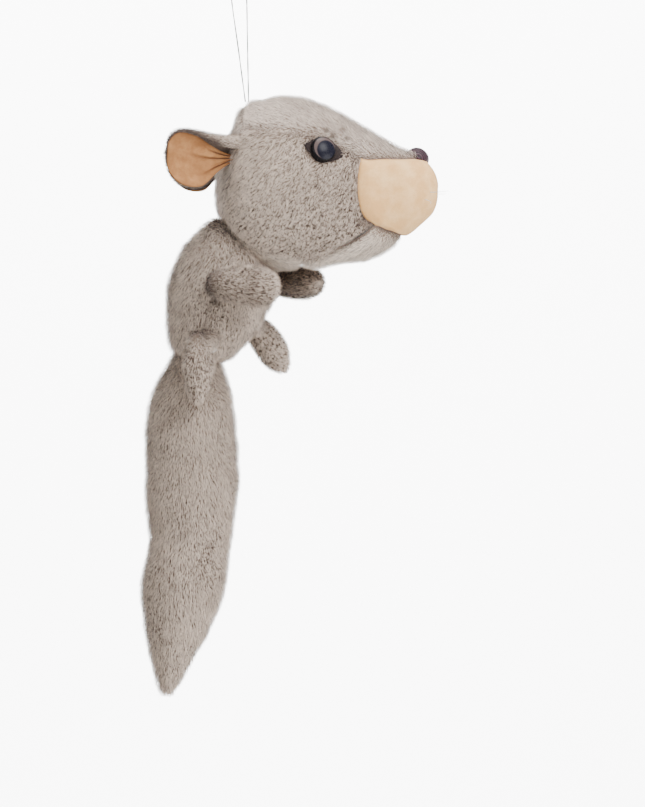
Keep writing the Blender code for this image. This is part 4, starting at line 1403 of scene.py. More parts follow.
@dataclass
class Face:
    """Eyes, felt almonds, nose and whiskers.

    Attributes:
        wardrobe: The finishes.
        form: The head's shape.
        eye_place: Fraction along the head, and level.
        eye_radius: Radius of an eye.
        eye_dome: How far an eye stands out.
        dome_share: Share of an eye's rings on its dome, where the rest form the wall of its rim.
        felt_length: Length of an almond.
        felt_height: Height of an almond.
        nose_along: Where the nose sits, along the head.
        nose_size: Half length, half width and half height of the nose.
        whiskers: Each whisker's place, aim and length.
    """

    wardrobe: Wardrobe
    form: HeadForm = HeadForm()
    eye_place: tuple[float, float] = (0.478, 0.40)
    eye_radius: float = 0.0112
    eye_dome: float = 0.0052
    dome_share: float = 0.8
    felt_length: float = 0.0355
    felt_height: float = 0.0205
    nose_along: float = 0.915
    nose_size: tuple[float, float, float] = (0.0100, 0.0122, 0.0092)
    whiskers: tuple = (((0.958, -0.08), (0.62, 0.78, 0.02), 0.026),
                       ((0.935, -0.30), (0.22, 0.95, -0.20), 0.024))

    def dress(self) -> None:
        """Builds the face."""
        for side in Side:
            self.eye(side)
            self.felt(side)
            for number, whisker in enumerate(self.whiskers, 1):
                self.whisker(side, number, *whisker)
        self.nose()

    def eye_turn(self, side: Side) -> float:
        """The turn of one eye."""
        along, level = self.eye_place
        return side.sign * float(self.form.turn_at(np.array(along), np.array(level)))

    def eye(self, side: Side) -> None:
        """Builds one domed eye with its rolled rim.

        Args:
            side: The side of the head.
        """
        rings, sides, dome = 26, 56, self.dome_share
        seat = self.form.seat(self.eye_place[0], self.eye_turn(side), 0.0030)
        share = np.linspace(0, 1, rings)[:, None]
        turn = full_turn(sides)[None, :]
        radius = np.minimum(share / dome, 1.0) * np.ones_like(turn)
        wall = -(share - dome) / (1 - dome) * 0.6
        height = np.where(share < dome, np.sqrt(np.maximum(1 - radius ** 2, 0)), wall)
        height = height + 0.09 * np.exp(-(((radius - 0.90) / 0.05) ** 2)) * (share < dome)
        x, y = radius * np.cos(turn), radius * np.sin(turn)
        local = np.stack([x * self.eye_radius, y * self.eye_radius, height * self.eye_dome], axis=-1)
        turning = np.array(seat)[:3, :3]
        points = local @ turning.T + np.array(seat)[:3, 3]
        inside = np.array(seat.translation) - turning[:, 2] * 0.004
        skin = Skin(f"eye_{side.label}_lens", points, inside, wrap=True)
        mesh = skin.mesh(cap_end=True)
        shift = np.stack([x - 0.13, y - 0.14 * side.sign], axis=-1)
        store(mesh, "pupil_distance", [*np.linalg.norm(shift, axis=-1).ravel(), 1.0])
        store(mesh, "rim_distance", [*radius.ravel(), 1.0])
        working = bmesh.new()
        working.from_mesh(mesh)
        bmesh.ops.remove_doubles(working, verts=working.verts, dist=1e-7)
        working.to_mesh(mesh)
        working.free()
        settle(add_piece(skin.name, mesh, self.wardrobe.enamel), "head", "black_eye_plastic",
               f"eye_{side.label}")

    def felt(self, side: Side) -> None:
        """Builds the almond of felt behind one eye.

        Args:
            side: The side of the head.
        """
        base = np.array(self.form.seat(self.eye_place[0], self.eye_turn(side), 0.0))
        base[:3, 3] += base[:3, 0] * 0.0012

        def place(u: Array, v: Array) -> Array:
            """Points of the almond, on the cheek.

            Args:
                u: Fractions along.
                v: Fractions across.

            Returns:
                The points.
            """
            x, y = disc(u, v)
            narrow = 1 - 0.42 * np.abs(x) ** 1.4
            flat = (base[:3, 3] + x[..., None] * base[:3, 0] * self.felt_length / 2
                    + (y * narrow)[..., None] * base[:3, 1] * self.felt_height / 2)
            lift = 0.0022 + 0.0010 * (1 - np.hypot(x, y) ** 2)
            return self.form.at(flat[..., 0], flat[..., 2], side.sign, lift)

        skin = Skin(f"eye_{side.label}_almond", grid_of(place, (36, 36)), self.form.middle)
        piece = add_piece(skin.name, skin.mesh(), self.wardrobe.felt)
        thicken(piece, 0.0012)
        settle(piece, "head", "dark_felt", f"eye_felt_{side.label}")

    def nose(self) -> None:
        """Builds the stuffed satin nose."""
        seat = np.array(self.form.seat(self.nose_along, 0.0, 0.0012))
        seat[:3, 3] += np.array([-0.0012, 0.0, -0.0022])
        rings, sides = 28, 48
        polar = np.linspace(0.04, math.pi - 0.04, rings)[:, None]
        turn = full_turn(sides)[None, :]
        ball = np.stack([np.sin(polar) * np.cos(turn), np.sin(polar) * np.sin(turn),
                         np.cos(polar) + 0 * turn], axis=-1)
        ball[..., 2] = np.where(ball[..., 2] < 0, ball[..., 2] * 0.45, ball[..., 2])
        points = (ball * self.nose_size) @ seat[:3, :3].T + seat[:3, 3]
        skin = Skin("nose_pad", points, seat[:3, 3], wrap=True)
        skin.push(lumps(skin.points, 0.008, 0.0003, 5.0))
        piece = settle(add_piece("nose_pad", skin.mesh(True, True), self.wardrobe.satin), "head",
                       "maroon_satin", "nose")

    def whisker(self, side: Side, number: int, spot: tuple[float, float], aim: tuple[float, float, float],
                length: float) -> None:
        """Builds one whisker.

        Args:
            side: The side of the muzzle.
            number: Which whisker it is.
            spot: Fraction along the head, and level.
            aim: Where it points: ahead, outwards and up.
            length: Its length.
        """
        along, level = spot
        turn = side.sign * float(self.form.turn_at(np.array(along), np.array(level)))
        seat = self.form.seat(along, turn, 0.0008)
        start, first = seat.translation, seat.col[2].to_3d()
        way = Vector((aim[0], side.sign * aim[1], aim[2])).normalized()
        shares = np.linspace(0, 1, 14)
        points = [start + (first * (1 - s) + way * s).normalized() * length * s for s in shares]
        mesh = tube_mesh(f"whisker_{side.label}_{number}_hair", np.array(points),
                         np.array([0.00034 * (1 - 0.75 * s) for s in shares]), 8)
        settle(add_piece(mesh.name, mesh, self.wardrobe.nylon), "head", "clear_nylon",
               f"whisker_{side.label}_{number}")


def tube_mesh(name: str, path: Array, radius: Array, sides: int, lobes: int = 0,
              lay: float = 0.0) -> bpy.types.Mesh:
    """A closed tube along a path, plain or twisted like a laid yarn.

    Args:
        name: The mesh's name.
        path: Points along the middle.
        radius: The tube's radius at each point.
        sides: How many points go round it.
        lobes: How many plies show, or 0 for a plain tube.
        lay: Length of one full twist.

    Returns:
        The mesh.
    """
    ahead = np.gradient(path, axis=0)
    ahead /= np.linalg.norm(ahead, axis=1, keepdims=True)
    across = np.cross(ahead, [0.0, 1.0, 0.0])
    small = np.linalg.norm(across, axis=1) < 0.1
    across[small] = np.cross(ahead[small], [0.0, 0.0, 1.0])
    across /= np.linalg.norm(across, axis=1, keepdims=True)
    up = np.cross(across, ahead)
    run = np.concatenate([[0.0], np.cumsum(np.linalg.norm(np.diff(path, axis=0), axis=1))])
    turn = full_turn(sides)[None, :]
    twist = run[:, None] / lay * 2 * math.pi if lobes else 0.0 * run[:, None]
    hollow = 0.5 - 0.5 * np.cos(lobes * (turn + twist)) if lobes else 0.0 * (turn + twist)
    reach = radius[:, None] * (1 - 0.28 * hollow)
    points = (path[:, None, :] + across[:, None, :] * (np.cos(turn) * reach)[..., None]
              + up[:, None, :] * (np.sin(turn) * reach)[..., None])
    mesh = Skin(name, points, path[len(path) // 2], wrap=True).mesh(True, True)
    if mesh.polygons[0].normal.dot(mesh.polygons[0].center - Vector(path[0])) < 0:
        mesh.flip_normals()
    store(mesh, "hollow", [*np.broadcast_to(hollow, points.shape[:2]).ravel(), 0.0, 0.0])
    return mesh


# ---- Cord loop -----------------------------------------------------------------------------------
@dataclass
class CordLoop:
    """The thin laid cord that the mouse hangs by.

    Attributes:
        wardrobe: The finishes.
        diameter: The cord's diameter.
        height: From the inside top of the loop down to its ends.
        lean: How far the crown lies ahead of the hook.
        hook_radius: Inside radius of the top of the loop.
        spacing: Distance between the strands at the crown.
    """

    wardrobe: Wardrobe
    diameter: float = 0.0012
    height: float = 0.0975
    lean: float = 0.0069
    hook_radius: float = 0.006
    spacing: float = 0.0027

    def route(self) -> Array:
        """The cord's middle line, from one end up over the hook and down to the other.

        Returns:
            Points along the line.
        """
        radius = self.hook_radius + self.diameter / 2
        hook = np.array([0.0, 0.0, -self.hook_radius])
        first = np.array([self.lean - self.spacing / 2, 0.0, -self.height])
        last = np.array([self.lean + self.spacing / 2, 0.0, -self.height])
        points = [first, mix(first, hook + np.array([-radius, 0.0, 0.0]), 0.5)]
        for degrees in range(185, -6, -19):
            turn = math.radians(degrees)
            points.append(hook + np.array([math.cos(turn), 0.0, math.sin(turn)]) * radius)
        points += [mix(points[-1], last, 0.5), last]
        return smooth_through(points, 3)

    def dress(self) -> None:
        """Builds the cord."""
        path = self.route()
        fine = smooth_through(path, 8)
        mesh = tube_mesh("hang_loop_yarn", fine, np.full(len(fine), self.diameter / 2), 16, 2, 0.0042)
        cord = settle(add_piece("hang_loop_yarn", mesh, self.wardrobe.yarn), "hang_loop", "dark_cord",
                      "hang_loop")


# ---- Ears ----------------------------------------------------------------------------------------
@dataclass
class Ear:
    """One cupped ear: a fur back that rolls over its upper edge, and a pleated velour lining.

    Attributes:
        wardrobe: The finishes.
        side: The side of the head.
        length: From the root to the free edge.
        height: What the outline's heights are shares of.
        cup: How deep the ear is cupped.
        spread: How far the ear points away from the head.
        tilt: How far its upper edge leans forward.
        root: Where the cloth begins inside the head, as a fraction of the length.
        lining_end: Where the lining ends, as a fraction of the length.
        curl_start: Share of the fur back that lies behind the ear, before it rolls over the upper edge.
        curl: How far it rolls.
        upper: Heights of the upper edge.
        lower: Heights of the lower edge.
    """

    wardrobe: Wardrobe
    side: Side
    length: float = 0.0580
    height: float = 0.046
    cup: float = 0.013
    spread: float = math.radians(20)
    tilt: float = math.radians(8)
    root: float = -0.13
    lining_end: float = 0.985
    curl_start: float = 0.72
    curl: float = math.radians(215)
    upper: Profile = Profile([
        (-0.15, 0.38), (0.0, 0.38), (0.3, 0.42), (0.6, 0.49), (0.86, 0.49), (0.97, 0.34), (1, 0.10)])
    lower: Profile = Profile([
        (-0.15, -0.02), (0.0, -0.08), (0.2, -0.28), (0.48, -0.50), (0.78, -0.48), (0.95, -0.28), (1, -0.05)])

    def seat(self) -> Array:
        """The ear's frame: X outwards along it, Y up it and Z out of its lining.

        Returns:
            The frame's matrix.
        """
        sign = self.side.sign
        outward = Vector((-math.cos(self.spread), sign * math.sin(self.spread), 0))
        up = Vector((math.sin(self.tilt), 0, math.cos(self.tilt)))
        up = (up - outward * up.dot(outward)).normalized()
        lining = outward.cross(up)
        if lining.y * sign < 0:
            lining.negate()
        matrix = Matrix((outward, up, lining)).transposed().to_4x4()
        matrix.translation = Vector(PIVOTS[f"ear_{self.side.label}_fold"])
        return np.array(matrix)

    def roll(self, u: Array) -> Array:
        """Radius of the roll along the upper edge."""
        return mix(0.0062, 0.0012, ease(-0.1, 0.95, u))

    def hollow(self, u: Array, y: Array) -> Array:
        """How far the cupped sheet stands out at a place."""
        out = np.clip(u, 0, 1)
        return self.cup * (np.abs(y / 0.55) ** 2.2 * mix(0.7, 1.0, out) + 0.30 * out ** 2)

    def front(self, u: Array, v: Array) -> Array:
        """Points of the lining, with pleats that run from the root.

        Args:
            u: Fractions along.
            v: Fractions across.

        Returns:
            The points.
        """
        u = mix(self.root, self.lining_end, u)
        high = self.upper(u) - 1.6 * self.roll(u) / self.height
        low = self.lower(u) - 0.015
        gather = ease(-0.15, 0.55, u)
        y = mix(low, high, v)
        y = y * mix(0.62, 1.0, gather) - 0.06 * (1 - gather)
        pleat = 0.0016 * np.exp(-(((v - 0.45) / 0.09) ** 2)) * (1 - ease(0.3, 0.9, u))
        fold = -0.0022 * self.creases(u, v) + pleat
        return np.stack([u * self.length, y * self.height, self.hollow(u, y) + fold + 0.0008], axis=-1)

    def creases(self, u: Array, v: Array) -> Array:
        """How far a place lies in one of the creases that run out from the root.

        Args:
            u: Fractions of the ear's length.
            v: Fractions across.

        Returns:
            From 0 outside the creases to 1 in the middle of one.
        """
        found = 0.0 * u * v
        for start, fan, reach in ((0.26, -0.06, 0.55), (0.58, 0.05, 0.80), (0.80, 0.10, 0.45)):
            line = np.exp(-(((v - start - fan * (u - self.root)) / 0.030) ** 2))
            found = np.maximum(found, line * (1 - ease(reach * 0.4, reach, u)))
        return found

    def behind(self, u: Array, v: Array) -> Array:
        """Points of the fur back, which rolls forward over the upper edge.

        Args:
            u: Fractions along.
            v: Fractions across.

        Returns:
            The points.
        """
        u = mix(self.root, 1.0, u)
        radius = self.roll(u)
        top = self.upper(u) * self.height - radius
        low = self.lower(u) * self.height
        share = np.clip(v / self.curl_start, 0, 1)
        y = mix(low, top, share)
        bulge = -0.0028 - 0.0022 * np.sin(np.pi * share) * (1 - np.clip(u, 0, 1) ** 3)
        flat_z = self.hollow(u, y / self.height) + bulge * mix(0.35, 1.0, ease(0.0, 0.12, share))
        turn = np.clip((v - self.curl_start) / (1 - self.curl_start), 0, 1) * self.curl
        top_z = self.hollow(u, top / self.height) - 0.0028
        curled = v > self.curl_start
        y = np.where(curled, top + radius * np.sin(turn), y)
        z = np.where(curled, top_z + radius * (1 - np.cos(turn)), flat_z)
        return np.stack([u * self.length, y, z], axis=-1)

    def dress(self) -> None:
        """Builds the ear."""
        seat, label, body = self.seat(), self.side.label, f"ear_{self.side.label}"
        turned, origin = seat[:3, :3], seat[:3, 3]
        ahead = origin + turned @ np.array([self.length / 2, 0.0, 0.05])
        behind = origin + turned @ np.array([self.length / 2, 0.0, -0.05])
        points = grid_of(self.front, (60, 60)) @ turned.T + origin
        lining = Skin(f"ear_{label}_lining_velour", points, behind)
        u, v = unit_grid(61, 61)
        # Painted shade: the lining darkens in the hollow near the root and in the creases.
        creased = self.creases(mix(self.root, self.lining_end, u), v)
        shade = 0.30 * (1 - ease(0.0, 0.45, u)) + 0.55 * creased
        edge = 1 - ease(0.0, 0.0025, edge_distance(lining.points, False))
        lining.tone = np.clip(shade + 0.25 * edge, 0, 1)
        front = add_piece(lining.name, lining.mesh(), self.wardrobe.lining)
        thicken(front, 0.0010)
        settle(front, body, "beige_velour", f"ear_{label}_lining")
        back = Skin(f"ear_{label}_back_skin", grid_of(self.behind, (60, 80)) @ turned.T + origin, ahead)
        rim = edge_distance(back.points, False)
        u, v = unit_grid(61, 81)
        free = np.maximum(ease(0.90, 0.99, u), np.maximum(ease(0.93, 0.99, v), 1 - ease(0.01, 0.05, v)))
        back.tone = 0.95 * ease(0.12, 0.35, u) * (1 - ease(0.0015, 0.0065, rim))
        back.trim = mix(1.0, 0.5, free)
        cloth = add_piece(back.name, back.mesh(), self.wardrobe.backing)
        thicken(cloth, 0.0010)
        settle(cloth, body, FUR_SLOT, f"ear_{label}_fur_back")
        coat = Coat(length=0.0050, density=1.8e6, rise=0.75)
        pile = turned @ np.array([1.0, 0.15, 0.0])
        settle(coat.grow(self.wardrobe.coat, f"ear_{label}_back_fur", cloth, pile, 40 + self.side.sign,
                         self.wardrobe.fur), body, FUR_SLOT)


# ---- Body ----------------------------------------------------------------------------------------
def furred_tube(wardrobe: Wardrobe, skin: Skin, coat: Coat, finish: bpy.types.Material,
                pile: Sequence[float], seed: int,
                caps: tuple[bool, bool] = (True, True)) -> tuple[bpy.types.Object, bpy.types.Object]:
    """Builds a furred closed form.

    Args:
        wardrobe: The finishes.
        skin: The skin, already worked.
        coat: How its fur grows.
        finish: The fur's material.
        pile: The way the fur lies.
        seed: Picks the fur's pattern.
        caps: Whether the first and the last row close to a point.

    Returns:
        The skin's object and the coat's object.
    """
    cloth = add_piece(skin.name, skin.mesh(*caps), wardrobe.backing)
    fur = coat.grow(wardrobe.coat, skin.name.replace("_skin", "_fur"), cloth, pile, seed, finish)
    return cloth, fur


@dataclass
class Neck:
    """The furred neck between the head and the torso.

    Attributes:
        wardrobe: The finishes.
        radius: Half width of the neck's form.
    """

    wardrobe: Wardrobe
    radius: float = 0.022

    def dress(self) -> None:
        """Builds the neck."""
        centre, axis = PIVOTS["neck_nod"], AXES["neck_turn"]
        across = np.array([axis[2], 0.0, -axis[0]])
        polar = np.linspace(0.05, math.pi - 0.05, 30)[:, None, None]
        turn = full_turn(48)[None, :, None]
        left = np.array([0.0, 1.0, 0.0])
        around = (across * np.cos(turn) + left * np.sin(turn)) * np.sin(polar)
        points = centre + self.radius * (axis * np.cos(polar) * 0.8 + around)
        skin = Skin("neck_skin", points, centre, wrap=True)
        cloth, fur = furred_tube(self.wardrobe, skin, Coat(length=0.005), self.wardrobe.smooth_fur,
                                 (-0.2, 0, -1), 51)
        settle(cloth, "neck", FUR_SLOT, "neck_stuffing")
        settle(fur, "neck", FUR_SLOT)


@dataclass
class Torso:
    """The furred torso, turned a little on the neck.

    Attributes:
        wardrobe: The finishes.
        drop: From the neck down to the tail joint.
        depth: Full depth of the cloth.
        width: Full width of the cloth.
        belly_half_turn: How far round the belly panel reaches from its middle.
        seam_depth: How far a seam pulls the cloth in.
        stations: Each ring's shares of drop behind and below the neck, of depth and of width, and its lean.
    """

    wardrobe: Wardrobe
    drop: float = 0.087
    depth: float = 0.085
    width: float = 0.092
    belly_half_turn: float = math.radians(77)
    seam_depth: float = 0.0022
    stations: tuple = ((0.07, 0.10, 0.82, 0.80, 44), (0.125, 0.285, 1.01, 1.0, 19),
                       (0.21, 0.53, 0.955, 1.0, 9), (0.275, 0.765, 0.83, 0.95, 9),
                       (0.33, 0.92, 0.68, 0.80, 8))

    def rows(self) -> Array:
        """The torso's rings, from its rounded top to its rounded foot.

        Returns:
            X, Z, half depth, half width and lean of each ring.
        """
        neck = PIVOTS["neck_nod"]
        rings = [(neck[0] - back * self.drop, neck[2] - down * self.drop, deep * self.depth / 2,
                  wide * self.width / 2, math.radians(lean))
                 for back, down, deep, wide, lean in self.stations]
        table = smooth_through(rings, 14)
        first, last = table[0], table[-1]
        top = []
        for rise, size in ((0.024, 0.40), (0.020, 0.72), (0.014, 0.92), (0.007, 1.0)):
            moved = first[:2] + rise * np.array([math.sin(first[4]), math.cos(first[4])])
            top.append(np.array([*moved, *(first[2:4] * size), first[4]]))
        foot = []
        for down, size in ((0.004, 0.93), (0.0085, 0.72), (0.011, 0.42)):
            foot.append(np.array([last[0] - down * 0.3, last[1] - down, *(last[2:4] * size), last[4]]))
        return np.array([*top, *table, *foot])

    def dress(self) -> None:
        """Builds the torso."""
        rows = self.rows()
        turn = np.linspace(-math.pi, math.pi, 120, endpoint=False)
        lean = rows[:, 4]
        ahead = np.stack([np.cos(lean), 0 * lean, -np.sin(lean)], axis=-1) * rows[:, 2:3]
        centre = np.stack([rows[:, 0], 0 * lean, rows[:, 1]], axis=-1)
        side = np.stack([0 * lean, rows[:, 3], 0 * lean], axis=-1)
        points = (centre[:, None, :] + ahead[:, None, :] * np.cos(turn)[None, :, None]
                  + side[:, None, :] * np.sin(turn)[None, :, None])
        skin = Skin("torso_skin", points, centre[len(centre) // 2], wrap=True)
        skin.push(lumps(skin.points, 0.028, 0.0014, 6.2))
        left = AXES["arm_right_swing"]
        yaw = math.atan2(left[0], left[1])
        for seam in (-yaw - self.belly_half_turn, -yaw + self.belly_half_turn, math.pi - yaw):
            away = turn_away(turn, seam) * rows[:, 2:3]
            skin.push(-self.seam_depth * np.exp(-((away / 0.0035) ** 2)))
            skin.trim = np.minimum(skin.trim, mix(0.45, 1.0, ease(0.0, 0.004, away)))
            skin.tone = np.maximum(skin.tone, 0.5 * (1 - ease(0.0, 0.0022, away)))
        # Painted shade, partly a parting of the fur, round the root of the right arm and the top of the right
        # leg.
        skin.darken(((-0.0235, -0.2560, 0.0050), (-0.0215, -0.2500, 0.0050), (-0.0170, -0.2440, 0.0045),
                     (-0.0190, -0.2640, 0.0050), (-0.0260, -0.2960, 0.0040)), 0.75)
        skin.worn = np.clip(0.45 + 0.35 * lumps(skin.points, 0.03, 1.0, 2.7), 0, 1)
        cloth, fur = furred_tube(self.wardrobe, skin, Coat(density=1.15e6, clump=1.8), self.wardrobe.fur,
                                 (-0.1, 0, -1), 61)
        settle(cloth, "torso", FUR_SLOT, "belly_panel", "back_panel_left", "back_panel_right")
        settle(fur, "torso", FUR_SLOT)


@dataclass
class Limb:
    """One paw: a flat stuffed pouch with a seam round its edge.

    Attributes:
        wardrobe: The finishes.
        name: The limb's body.
        side: The side of the mouse.
        size: Length, width and thickness.
        outline: Fraction along, share of the half width.
        pose: Turns after the torso's own, as angle in degrees and axis.
        seed: Picks the fur's pattern.
        sleeve: Length of the furred sleeve between the limb and the torso.
        raised: How far the paw is raised over its joint.
        above: Share of the length that lies above the joint.
        seam_depth: How far the seam pulls the cloth in.
    """

    wardrobe: Wardrobe
    name: str
    side: Side
    size: tuple[float, float, float]
    outline: tuple
    pose: tuple
    seed: int
    sleeve: float
    raised: float = 0.0
    above: float = 0.22
    seam_depth: float = 0.0012

    def sew_on(self, pivot: Array, left: Vector) -> None:
        """Builds the short furred sleeve that joins the limb to the torso.

        Args:
            pivot: The limb's joint.
            left: The way to the mouse's left.
        """
        inward = -self.side.sign * np.array(left)
        share = np.linspace(0, 1, 14)[:, None, None]
        turn = full_turn(40)[None, :, None]
        ahead, up = np.array([left.y, -left.x, 0.0]), np.array([0.0, 0.0, 1.0])
        radius = mix(0.0072, 0.0100, share)
        rise = up * share * 0.35 * self.sleeve
        around = (ahead * np.cos(turn) + up * np.sin(turn)) * radius
        points = pivot + inward * share * self.sleeve + rise + around
        skin = Skin(f"{self.name}_sleeve_skin", points, points.mean(axis=(0, 1)), wrap=True)
        for piece in furred_tube(self.wardrobe, skin, Coat(length=0.0045), self.wardrobe.fur,
                                 (0, 0, -1), self.seed + 10):
            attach(piece, self.name)

    def dress(self) -> None:
        """Builds the limb."""
        length, width, thickness = self.size
        pivot, left = PIVOTS[f"{self.name}_swing"], Vector(AXES[f"{self.name}_swing"])
        matrix = Matrix((Vector((left.y, -left.x, 0)), left, Vector((0, 0, 1)))).transposed()
        for degrees, axis in self.pose:
            matrix = matrix @ Matrix.Rotation(math.radians(degrees), 3, axis)
        shape, flat = Profile(self.outline), Profile([(a, s ** 0.75) for a, s in self.outline])
        along = (1 - np.cos(np.linspace(0.06, math.pi - 0.06, 50))[:, None]) / 2
        turn = full_turn(60)[None, :]
        local = np.stack([np.cos(turn) * shape(along) * width / 2, np.sin(turn) * flat(along) * thickness / 2,
                          self.above * length - along * length + 0 * turn], axis=-1)
        points = local @ np.array(matrix).T + pivot + np.array([0.0, 0.0, self.raised])
        skin = Skin(f"{self.name}_skin", points, points.mean(axis=(0, 1)), wrap=True)
        skin.push(lumps(skin.points, 0.016, 0.0010, self.seed))
        edge = np.minimum(np.abs(np.sin(turn)) * thickness / 2 + 0 * along, 1.0)
        skin.push(-self.seam_depth * np.exp(-((edge / 0.002) ** 2)))
        skin.trim = np.minimum(skin.trim, mix(0.5, 1.0, ease(0.0, 0.003, edge)))
        # Painted shade: the fur darkens towards the limb's root, where it meets the torso; the seam round its
        # edge is darkened too.
        root = 1 - ease(0.0, 0.22, along + 0 * turn)
        skin.tone = np.maximum(0.5 * root, 0.2 * (1 - ease(0.0, 0.0015, edge)))
        skin.worn = np.full(skin.worn.shape, 0.75)
        self.sew_on(pivot, left)
        pile = np.array(matrix) @ np.array([0.0, 0.0, -1.0])
        cloth, fur = furred_tube(self.wardrobe, skin, Coat(length=0.0056, density=1.35e6),
                                 self.wardrobe.fur, pile, self.seed)
        settle(cloth, self.name, FUR_SLOT, f"{self.name}_outer_panel", f"{self.name}_inner_panel")
        settle(fur, self.name, FUR_SLOT)


@dataclass
class Tail:
    """The long thick tail in three stretches, each over one of its joints.

    Attributes:
        wardrobe: The finishes.
        length: From the root joint to the tip.
        radius: Radius of the cloth at the thickest place.
        cuts: Fractions of the length where one stretch of cloth ends and the next begins.
        seam_depth: How far a seam pulls the cloth in.
        outline: Shares of the radius, at fractions of the length.
        drift: How far the middle lies behind the root, as shares of the length.
    """

    wardrobe: Wardrobe
    length: float = 0.291
    radius: float = 0.0375
    cuts: tuple[float, ...] = (-0.02, 0.16, 0.45, 0.985)
    seam_depth: float = 0.0014
    outline: Profile = Profile([
        (-0.03, 0.40), (0, 0.46), (0.034, 0.56), (0.096, 0.78), (0.155, 0.93), (0.22, 0.985), (0.335, 1.0),
        (0.45, 0.965), (0.555, 0.875), (0.665, 0.905), (0.76, 0.775), (0.815, 0.665), (0.90, 0.40),
        (0.968, 0.165), (1, 0)])
    drift: Profile = Profile([
        (-0.03, 0), (0, 0), (0.1, 0.012), (0.22, 0.018), (0.335, 0.014), (0.45, 0.018), (0.555, 0.022),
        (0.665, 0.040), (0.76, 0.051), (0.9, 0.075), (1, 0.09)])

    def points(self, start: float, end: float) -> tuple[Array, Array]:
        """Points of a stretch of cloth.

        Args:
            start: Fraction of the length where it begins.
            end: Fraction where it ends.

        Returns:
            The points, and the turn of each column.
        """
        share = np.linspace(start, end, int((end - start) * 260))
        turn = np.linspace(-math.pi, math.pi, 110, endpoint=False)
        root = PIVOTS["tail_swing"]
        centre = root + np.stack([-self.drift(share), 0 * share, -share], axis=-1) * self.length
        around = np.stack([np.cos(turn), np.sin(turn), 0 * turn], axis=-1)
        reach = (self.outline(share) * self.radius)[:, None, None]
        return centre[:, None, :] + around[None, :, :] * reach, turn

    def dress(self) -> None:
        """Builds the three stretches."""
        names = ("upper", "middle", "tip")
        joints = ("tail_swing", "tail_sway", "tail_curl")
        spans = ((0.006, 0.022), (0.026, 0.026), (0.026, 0.026))
        for index, name in enumerate(names):
            points, turn = self.points(self.cuts[index], self.cuts[index + 1])
            skin = Skin(f"tail_{name}_skin", points, points.mean(axis=(0, 1)), wrap=True)
            skin.push(lumps(skin.points, 0.034, 0.0016, 8.8))
            skin.worn = np.clip(0.36 + 0.7 * lumps(skin.points, 0.035, 1.0, 4.4), 0, 1)
            for seam in (0.0, math.pi):
                away = turn_away(turn, seam) * self.radius
                skin.push(-self.seam_depth * np.exp(-((away / 0.003) ** 2)) + 0 * points[..., 0])
                skin.trim = np.minimum(skin.trim, mix(0.55, 1.0, ease(0.0, 0.004, away)))
            cloth, fur = furred_tube(self.wardrobe, skin, Coat(density=1.1e6, clump=1.6, ruffle=0.3),
                                     self.wardrobe.fur, (0.05, 0, -1), 70 + index,
                                     (index == 0, index == 2))
            pivot, (before, after) = PIVOTS[joints[index]], spans[index]
            start, end = pivot + np.array([0, 0, before]), pivot - np.array([0, 0, after])
            for piece in (cloth, fur):
                tuple(start)
                tuple(end)
                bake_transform(piece)
            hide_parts(f"tail_{name}_panel_left", f"tail_{name}_panel_right")
            LOG.info("tail %s crosses %s", name, joints[index])


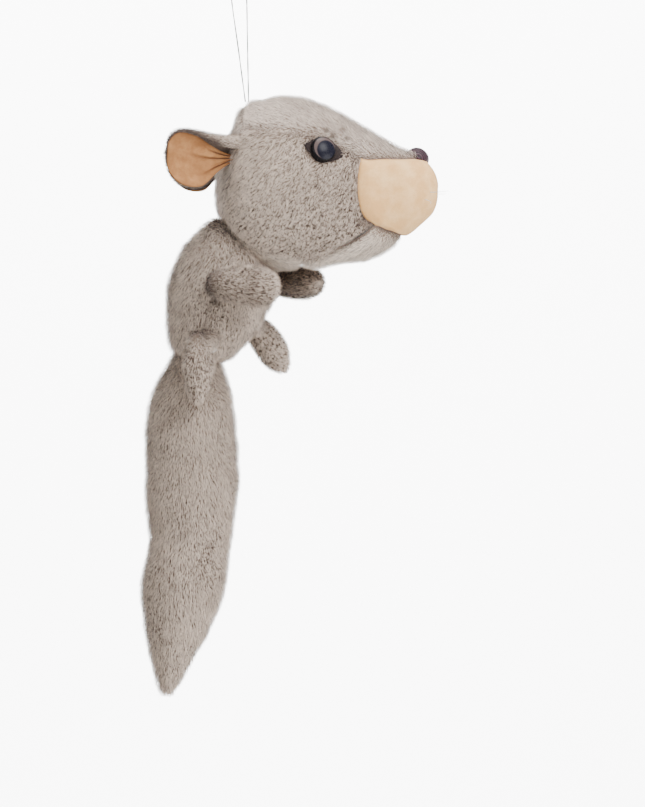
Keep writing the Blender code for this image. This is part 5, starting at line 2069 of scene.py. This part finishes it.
# ---- Studio --------------------------------------------------------------------------------------
@dataclass
class Studio:
    """A pale sweep, soft lights and the camera.

    Attributes:
        view: Height of the camera's view at the mouse, in metres.
        distance: From the camera to the mouse.
        floor: Height of the floor.
        middle: X and Z that the camera looks at.
    """

    view: float = 0.68595
    distance: float = 6.0
    floor: float = -2.2
    middle: tuple[float, float] = (0.0711, -0.3538)

    def build(self) -> None:
        """Sets the studio up."""
        self.sweep()
        self.light("key", (1.3, -1.7, 1.1), (0.03, 0.0, -0.25), 1.2, 74.0)
        self.light("fill", (-1.6, -1.6, 0.1), (0.0, 0.0, -0.35), 1.6, 24.0)
        self.light("top", (0.2, -0.2, 1.4), (0.02, 0.0, -0.30), 1.0, 42.0)
        self.light("low", (1.7, -1.3, -0.9), (0.03, 0.0, -0.35), 1.5, 46.0)
        self.light("backdrop", (0.0, 8.5, 3.5), (0.0, 13.0, -0.3), 4.0, 3200.0)
        world = bpy.data.worlds.new("studio_air")
        world.use_nodes = True
        world.node_tree.nodes["Background"].inputs[0].default_value = (1.0, 1.0, 1.0, 1.0)
        world.node_tree.nodes["Background"].inputs[1].default_value = 0.70
        bpy.context.scene.world = world
        self.camera()

    def sweep(self) -> None:
        """Builds the floor and the low backdrop all round it as one shallow bowl of paper."""
        profile = [(0.05, self.floor), (4.0, self.floor), (8.0, self.floor)]
        for degrees in range(10, 91, 10):
            turn = math.radians(degrees)
            profile.append((8.0 + 5.0 * math.sin(turn), self.floor + 3.0 * (1 - math.cos(turn))))
        turn = full_turn(72)
        ring = np.stack([np.cos(turn), np.sin(turn), 0 * turn], axis=-1)
        points = np.array([ring * radius + (0.0, 0.0, height) for radius, height in profile])
        mesh = Skin("studio_sweep", points, np.array([0.0, 0.0, -30.0]), wrap=True).mesh(cap_start=True)
        add_piece("studio_sweep", mesh, StudioPaper("studio_paper").build())

    def light(self, name: str, place: Sequence[float], aim: Sequence[float], size: float,
              power: float) -> None:
        """Adds a soft square light.

        Args:
            name: The light's name.
            place: Where it stands.
            aim: What it points at.
            size: Its side.
            power: Its power in watts.
        """
        lamp = bpy.data.lights.new(name, "AREA")
        lamp.size, lamp.energy = size, power
        made = bpy.data.objects.new(name, lamp)
        made.location = place
        made.rotation_euler = (Vector(aim) - Vector(place)).to_track_quat("-Z", "Y").to_euler()
        bpy.context.scene.collection.objects.link(made)

    def camera(self) -> None:
        """Adds the camera, level and square on to the mouse's right side."""
        data = bpy.data.cameras.new("camera")
        data.sensor_width = 36.0
        data.lens = data.sensor_width * self.distance / self.view
        data.clip_end = 50.0
        made = bpy.data.objects.new("camera", data)
        made.location = (self.middle[0], -self.distance, self.middle[1])
        made.rotation_euler = (math.radians(90), 0, 0)
        bpy.context.scene.collection.objects.link(made)
        bpy.context.scene.camera = made


def dress_hidden(wardrobe: Wardrobe) -> None:
    """Gives the filling, the washers and the knot their finishes.

    Args:
        wardrobe: The finishes.
    """
    finishes = {"stuffing": wardrobe.filling, "washer": wardrobe.washer, "loop_knot": wardrobe.yarn}
    for node in frame["nodes"]:
        for word, finish in finishes.items():
            if word in node:
                bpy.data.objects[node].material_slots[0].material = finish


ARM_OUTLINE = ((0, 0), (0.03, 0.42), (0.10, 0.66), (0.25, 0.84), (0.5, 0.95), (0.72, 1.0), (0.88, 0.82),
               (0.965, 0.5), (1, 0))
LEG_OUTLINE = ((0, 0), (0.03, 0.36), (0.12, 0.66), (0.3, 0.90), (0.5, 1.0), (0.7, 0.93), (0.88, 0.62),
               (0.97, 0.30), (1, 0))


def main() -> None:
    """Builds the studio and every piece of the mouse, in order."""
    logging.basicConfig(level=logging.INFO, format="%(message)s")
    Studio().build()
    wardrobe = Wardrobe()
    CordLoop(wardrobe).dress()
    Head(wardrobe).dress()
    Face(wardrobe).dress()
    for side in Side:
        Ear(wardrobe, side).dress()
    Neck(wardrobe).dress()
    Torso(wardrobe).dress()
    for side in Side:
        lowered = 4 if side is Side.RIGHT else 2
        plump = 0.031 if side is Side.RIGHT else 0.025
        Limb(wardrobe, f"arm_{side.label}", side, (0.059, plump, 0.026), ARM_OUTLINE,
             ((-side.sign * 13, "Z"), (lowered - 90, "Y")), 80 + side.sign, sleeve=0.024,
             raised=(plump - 0.025) * 0.45).dress()
        swung = () if side is Side.RIGHT else ((-20, "Y"), (45, "X"))
        Limb(wardrobe, f"leg_{side.label}", side, (0.059, 0.022, 0.027), LEG_OUTLINE, swung, 84 + side.sign,
             sleeve=0.028).dress()
    Tail(wardrobe).dress()
    dress_hidden(wardrobe)


if __name__ == "__main__":
    main()
